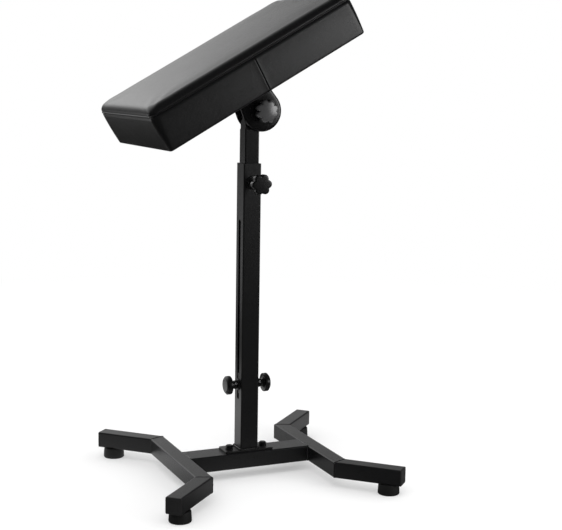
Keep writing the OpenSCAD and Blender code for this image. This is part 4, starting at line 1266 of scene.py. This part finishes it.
class ARM_REST_OT_bracket(ArmRestOperator, bpy.types.Operator):
    """Glossy tilting bracket under the pad: two round ears, their plate and welds"""

    bl_idname = "arm_rest.bracket"
    bl_label = "Tilting Bracket"

    def execute(self, context):
        place = pad_frame()
        for name, side in (("ear_front", -1), ("ear_rear", 1)):
            low, high = local_box(name, place)
            ear = self.ear(low, high, side)
            seat_piece(ear, name + "_plate", "pad", "mast_steel", place, (name,), "bracket_enamel")
        low, high = local_box("pad_plate", place)
        plate = block(high - low, (low + high) / 2)
        round_upright_edges(plate, 7.5 * MM, 8)
        soften(plate, 0.6 * MM)
        seat_piece(plate, "bracket_plate", "pad", "mast_steel", place, ("pad_plate",), "bracket_enamel")
        self.welds(place)
        return {"FINISHED"}

    def ear(self, low, high, side):
        """Round about the pivot and narrower at the plate, with a rounded outer edge."""
        radius = (high.x - low.x) / 2
        thick = high.y - low.y
        edge = 5 * MM
        half_top = 31 * MM
        # Direction in which the straight flank leaves the round
        lean = math.atan2(high.z, half_top) - math.acos(radius / math.hypot(half_top, high.z))

        def point(turn, row):
            """Point of a row, given as (distance inside the outline, depth)."""
            x, z = math.cos(TAU * turn), math.sin(TAU * turn)
            rise = math.atan2(z, abs(x))
            reach = radius - row[0]
            if rise > lean:
                reach = min(reach / max(math.cos(rise - lean), 0.01), high.z / max(z, 0.01))
            return Vector((x * reach, row[1], z * reach))

        rows = [(0, 0), *arc_rows((edge, thick - edge), edge, 180, 90, 8), (radius * 0.5, thick),
                (radius * 0.9, thick)]
        ear = ring_stack(180, rows, point)
        outwards = Matrix.Diagonal((1, side, 1, 1))
        ear.data.transform(Matrix.Translation((0, high.y if side < 0 else low.y, 0)) @ outwards)
        close_up(ear)
        smooth(ear, 30)
        return ear

    def welds(self, place):
        high = local_box("ear_welds", place)[1]
        runs = []
        for side in (-1, 1):
            end = Vector((high.x - 1 * MM, side * (high.y - 1.5 * MM), high.z - 0.6 * MM))
            points = line_points((-end.x, end.y, end.z), end, 150)
            runs.append(bead(points, 1.5 * MM, "ear_bead", closed=False, ripple=0.2))
        seat_piece(join(runs), "ear_weld_beads", "pad", "weld_paint", place, ("ear_welds",))


class ARM_REST_OT_tilt_knob(ArmRestOperator, bpy.types.Operator):
    """Eight-lobed knob that clamps the tilting bracket"""

    bl_idname = "arm_rest.tilt_knob"
    bl_label = "Tilt Knob"

    def execute(self, context):
        place = pad_frame()
        low, high = local_box("tilt_knob", place)
        height = high.y - low.y
        knob = lobed_knob(lobes=8, turn=math.radians(-7.5), radius=21.5 * MM, height=height, neck=9.5 * MM,
                          neck_height=height * 0.36, dome=2.2 * MM)
        seat_piece(knob, "tilt_knob_moulding", "tilt_knob", "knob_plastic",
                   place @ facing((0, -1, 0), (0, high.y, 0)), ("tilt_knob",), "knob_face")
        return {"FINISHED"}


class ARM_REST_OT_pad_cover(ArmRestOperator, bpy.types.Operator):
    """Upholstered pad: crowned top, rolled welt, side panels and the upright seam"""

    bl_idname = "arm_rest.pad_cover"
    bl_label = "Pad Cover"

    def execute(self, context):
        sizes = context.scene.arm_rest_pad
        place = pad_frame()
        low, high = local_box("pad_cover", place)
        cover = self.cushion(sizes, low, high, self.rows(sizes, low, high))
        self.swell(cover, sizes, low, high)
        smooth(cover, 60)
        seat_piece(cover, "pad_leather_cover", "pad", "pad_leather", place, ("pad_cover",))
        foam = self.cushion(sizes, low, high, self.foam_rows(sizes, low, high))
        smooth(foam, 60)
        seat_piece(foam, "pad_foam_block", "pad", "pad_foam", place, ("pad_foam",))
        return {"FINISHED"}

    def rows(self, sizes, low, high):
        """Rows as (distance inside the outline, height, depth of the upright seam as a share)."""
        side = sizes.side_height
        draw = sizes.draw_in
        edge = sizes.foot_edge
        rows = [(draw + edge + 30 * MM, 0, 0)]
        for step, (inset, height) in enumerate(arc_rows((draw + edge, edge), edge, 270, 180, 5)):
            rows.append((inset, height, step / 5))
        top = side - 1.8 * MM
        count = 14
        for step in range(1, count + 1):
            share = step / count
            bulge = 0.5 * MM * math.sin(math.pi * share)
            inset = draw * (1 - share) ** 1.1 - bulge + 0.3 * MM * share ** 4
            rows.append((inset, edge + (top - edge) * share, 1))
        crease = sizes.crease
        welt = sizes.welt
        rows += [(0.7 * MM, side - 1.2 * MM, 0.9), (crease, side - 0.4 * MM, 0.6), (crease, side, 0.4)]
        for inset, height in arc_rows((welt, side + welt), welt, 260, 110, 7)[1:]:
            rows.append((inset, height, 0.1))
        rows += self.crown_rows(sizes, low, high, 0.9 * MM, 0)
        return rows

    def crown_rows(self, sizes, low, high, inset, drop):
        """Rows over a rounded shoulder and the slow rise of the top to a short line along the middle."""
        start = sizes.side_height + 2.2 * sizes.welt
        rise = high.z - low.z - sizes.settle - start
        shoulder = rise * sizes.shoulder_share
        slow = rise - shoulder
        half = (high.y - low.y) / 2

        def height(run):
            left = 1 - min(1, run / sizes.shoulder_run)
            return start + shoulder * math.sqrt(1 - left * left) + slow * (1 - (1 - run / half) ** 2) - drop

        rows = []
        for step in range(1, 15):
            run = sizes.shoulder_run * (1 - math.cos(math.radians(90 * step / 14)))
            rows.append((inset + run, height(run), 0))
        rest = half - inset - 0.6 * MM
        for step in range(1, 25):
            run = sizes.shoulder_run + (rest - sizes.shoulder_run) * step / 24
            rows.append((inset + run, height(run), 0))
        return rows

    def foam_rows(self, sizes, low, high):
        """Rows of the foam block, well under the cover and standing on the board."""
        skin = 3.6 * MM
        side = sizes.side_height
        foot = local_box("pad_board", pad_frame())[1].z - low.z + 0.05 * MM
        inset = sizes.draw_in + skin
        rows = [(inset + 30 * MM, foot, 0), (inset + 1 * MM, foot, 0), (inset, foot + 1 * MM, 0)]
        for step in range(1, 7):
            share = step / 6
            rows.append((inset - (sizes.draw_in - 0.5 * MM) * share, foot + (side - foot) * share, 0))
        rows += self.crown_rows(sizes, low, high, skin, skin)
        return rows

    def swell(self, cover, sizes, low, high):
        """Simulates the filling's push on a coarse copy and moves the cover's points by a part of it."""
        voxel = 7 * MM
        frames = 20
        start = [point.co.copy() for point in cover.data.vertices]
        take(cover)
        bpy.ops.object.duplicate()
        coarse = bpy.context.object
        coarse.name = "swelling"
        coarse.data.remesh_voxel_size = voxel
        bpy.ops.object.voxel_remesh()
        seam = low.z + sizes.side_height
        held = coarse.vertex_groups.new(name="held")
        rest = [point.co.copy() for point in coarse.data.vertices]
        for number, place in enumerate(rest):
            if place.z < low.z + 8 * MM or abs(place.z - seam) < 4 * MM and self.near_side(place, low, high):
                held.add([number], 1.0, "REPLACE")
        bpy.ops.object.modifier_add(type="CLOTH")
        cloth = coarse.modifiers[-1]
        cloth.settings.quality = 5
        cloth.settings.mass = 0.3
        cloth.settings.use_pressure = True
        cloth.settings.uniform_pressure_force = 4
        cloth.settings.vertex_group_mass = held.name
        cloth.settings.effector_weights.gravity = 0
        cloth.point_cache.frame_end = frames
        for number in range(1, frames + 1):
            bpy.context.scene.frame_set(number)
        bpy.ops.object.modifier_apply(modifier=cloth.name)
        pushes = [point.co - place for point, place in zip(coarse.data.vertices, rest)]
        tree = kdtree.KDTree(len(rest))
        for number, place in enumerate(rest):
            tree.insert(place, number)
        tree.balance()
        bpy.data.objects.remove(coarse)
        bpy.context.scene.frame_set(1)
        for number, place in enumerate(start):
            push = Vector()
            weight = 0.0
            for _, near, gap in tree.find_n(place, 6):
                share = 1 / (gap + 2 * MM)
                push += pushes[near] * share
                weight += share
            push /= weight
            fade = min(1, abs(place.z - seam) / (12 * MM), (place.z - low.z) / (20 * MM))
            if place.z > seam and not self.near_side(place, low, high):
                fade = 1
            amount = push.length
            if amount > 0:
                capped = sizes.swelling * math.tanh(amount / (8 * MM))
                cover.data.vertices[number].co = place + push * (capped / amount) * max(0, fade)

    def near_side(self, place, low, high):
        """Whether a place is within the welt's reach of the pad's outline."""
        return min(place.x - low.x, high.x - place.x, place.y - low.y, high.y - place.y) < 10 * MM

    def outline(self, length, width, seam):
        """Places of a ring's points: corner and side stretches, closer together at the upright seam."""
        marks = []
        for number in range(4):
            for step in range(11):
                marks.append(("corner", number, step / 10))
            for share in self.side_shares(number, length, width, seam):
                marks.append(("side", number, share))
        return marks

    def side_shares(self, number, length, width, seam):
        """Shares along the side that follows a corner; side 2 runs along the front, from -X to +X."""
        reach = length if number in (0, 2) else width
        count = int(reach / (5.5 * MM))
        shares = [step / count for step in range(1, count)]
        if number == 2:
            shares = [share for share in shares if abs(share - seam) * reach > 5 * MM]
            for offset in (-4.2, -3, -2, -1.4, -0.9, -0.5, -0.2, 0, 0.2, 0.5, 0.9, 1.4, 2, 3, 4.2):
                shares.append(seam + offset * MM / reach)
        return sorted(shares)

    def cushion(self, sizes, low, high, rows):
        """A cushion through rows of its outline, rounder towards the crown's middle."""
        length = high.x - low.x
        width = high.y - low.y
        centre = (low + high) / 2
        marks = self.outline(length, width, 0.5 + (sizes.seam_place - centre.x) / length)
        count = len(marks)

        def point(turn, row):
            """Point of a row, given as (distance inside the outline, height, depth of the seam)."""
            kind, number, share = marks[int(round(turn * count)) % count]
            inset, height, groove_share = row
            half_l = length / 2 - inset
            half_w = width / 2 - inset
            if height > sizes.side_height:
                radius = sizes.corner + sizes.rounding * inset
            else:
                radius = max(sizes.corner - inset / 2, sizes.corner / 3)
                radius -= (sizes.corner - sizes.foot_corner) * (1 - height / sizes.side_height)
            radius = min(radius, half_w * 0.98)

            def corner_place(which, angle):
                sx, sy, start = QUARTERS[which]
                turned_by = math.radians(start + angle)
                return Vector((sx * (half_l - radius) + radius * math.cos(turned_by),
                               sy * (half_w - radius) + radius * math.sin(turned_by), 0))

            if kind == "corner":
                place = corner_place(number, 90 * share)
            else:
                place = corner_place(number, 90).lerp(corner_place((number + 1) % 4, 0), share)
            if kind == "side" and number == 2:
                off = place.x - (sizes.seam_place - centre.x)
                groove = math.exp(-((off / (0.5 * MM)) ** 2)) * 1.3 * MM
                puff = math.exp(-(((abs(off) - 2.4 * MM) / (1.6 * MM)) ** 2)) * 0.15 * MM
                place.y += (groove - puff) * groove_share
            return Vector((place.x + centre.x, place.y, low.z + height))

        return ring_stack(count, rows, point)


class ARM_REST_OT_underside(ArmRestOperator, bpy.types.Operator):
    """Dust cloth stapled under the pad"""

    bl_idname = "arm_rest.underside"
    bl_label = "Dust Cloth and Staples"

    def execute(self, context):
        place = pad_frame()
        low, high = local_box("underside_cloth", place)
        cloth = self.cloth(low, high)
        seat_piece(cloth, "dust_cloth", "pad", "underside_cloth", place, ("underside_cloth",))
        self.staples(low, high, place)
        return {"FINISHED"}

    def cloth(self, low, high):
        """A thin cloth that hangs a hair lower between its stapled edges."""
        centre = (low + high) / 2
        size = high - low
        cloth = added(bpy.ops.mesh.primitive_grid_add, x_subdivisions=96, y_subdivisions=60, size=1,
                      location=centre)
        cloth.scale = (size.x, size.y, 1)
        bpy.ops.object.transform_apply(location=True, rotation=False, scale=True)
        pressed_x, pressed_y = 56 * MM, 52 * MM
        for point in cloth.data.vertices:
            across = 1 - abs(2 * (point.co.y - centre.y) / size.y)
            along = 1 - abs(2 * (point.co.x - centre.x) / size.x)
            hold = min(1, across * 3, along * 5)
            pucker = noise.noise(Vector((point.co.x * 60, point.co.y * 60, 0))) * 0.25 * MM
            # The bracket's plate holds the cloth flat against the board
            pressed = abs(point.co.x) < pressed_x and abs(point.co.y) < pressed_y
            sag = 0 if pressed else 0.45 * MM * hold + pucker / 2
            point.co.z = high.z - 0.15 * MM - sag
        smooth(cloth, 60)
        return cloth

    def staples(self, low, high, place):
        """Wire staples along the cloth's edges, a few centimetres apart."""
        made = []
        step = 32 * MM
        inset = Vector((4 * MM, 4 * MM, 0))
        low, high = low + inset, high - inset
        for side in (-1, 1):
            count = int((high.x - low.x) / step)
            for number in range(count + 1):
                x = low.x + (high.x - low.x) * number / count
                made.append(self.staple(x, side * high.y, low.z, 0))
            count = int((high.y - low.y) / step)
            for number in range(1, count):
                y = low.y + (high.y - low.y) * number / count
                made.append(self.staple(low.x if side < 0 else high.x, y, low.z, math.pi / 2))
        seat_piece(join(made), "cloth_staples", "pad", "zinc_steel", place)

    def staple(self, x, y, z, turn):
        piece = block((9 * MM, 1.1 * MM, 0.5 * MM))
        soften(piece, 0.2 * MM, 2)
        piece.data.transform(Matrix.Translation((x, y, z - 0.1 * MM)) @ Matrix.Rotation(turn, 4, "Z"))
        return piece


class ARM_REST_PT_panel(bpy.types.Panel):
    """Lists the stand's operators in the sidebar"""

    bl_idname = "ARM_REST_PT_panel"
    bl_label = "Tattoo Arm Rest Stand"
    bl_space_type = "VIEW_3D"
    bl_region_type = "UI"
    bl_category = "Arm Rest"

    def draw(self, context):
        for operator in OPERATORS:
            self.layout.operator(operator.bl_idname)
        for name in SETTINGS:
            settings = getattr(context.scene, name)
            for key in settings.__annotations__:
                self.layout.prop(settings, key)


SETTINGS = {
    "arm_rest_looks": StandLooks,
    "arm_rest_pad": PadSizes,
    "arm_rest_welds": WeldSizes,
    "arm_rest_stage": StageSettings,
}

OPERATORS = (
    ARM_REST_OT_stage,
    ARM_REST_OT_finishes,
    ARM_REST_OT_welds,
    ARM_REST_OT_feet,
    ARM_REST_OT_plugs,
    ARM_REST_OT_flange,
    ARM_REST_OT_clamp_knob,
    ARM_REST_OT_slot_knobs,
    ARM_REST_OT_bracket,
    ARM_REST_OT_tilt_knob,
    ARM_REST_OT_pad_cover,
    ARM_REST_OT_underside,
)


def register():
    for made in (*SETTINGS.values(), *OPERATORS, ARM_REST_PT_panel):
        bpy.utils.register_class(made)
    for name, group in SETTINGS.items():
        setattr(bpy.types.Scene, name, PointerProperty(type=group))


def unregister():
    for name in SETTINGS:
        delattr(bpy.types.Scene, name)
    for made in reversed((*SETTINGS.values(), *OPERATORS, ARM_REST_PT_panel)):
        bpy.utils.unregister_class(made)


def main():
    register()
    bpy.context.scene.view_settings.view_transform = "Standard"
    for operator in OPERATORS:
        group, name = operator.bl_idname.split(".")
        getattr(getattr(bpy.ops, group), name)()
    deselect()
    bpy.context.view_layer.update()


if __name__ == "__main__":
    main()
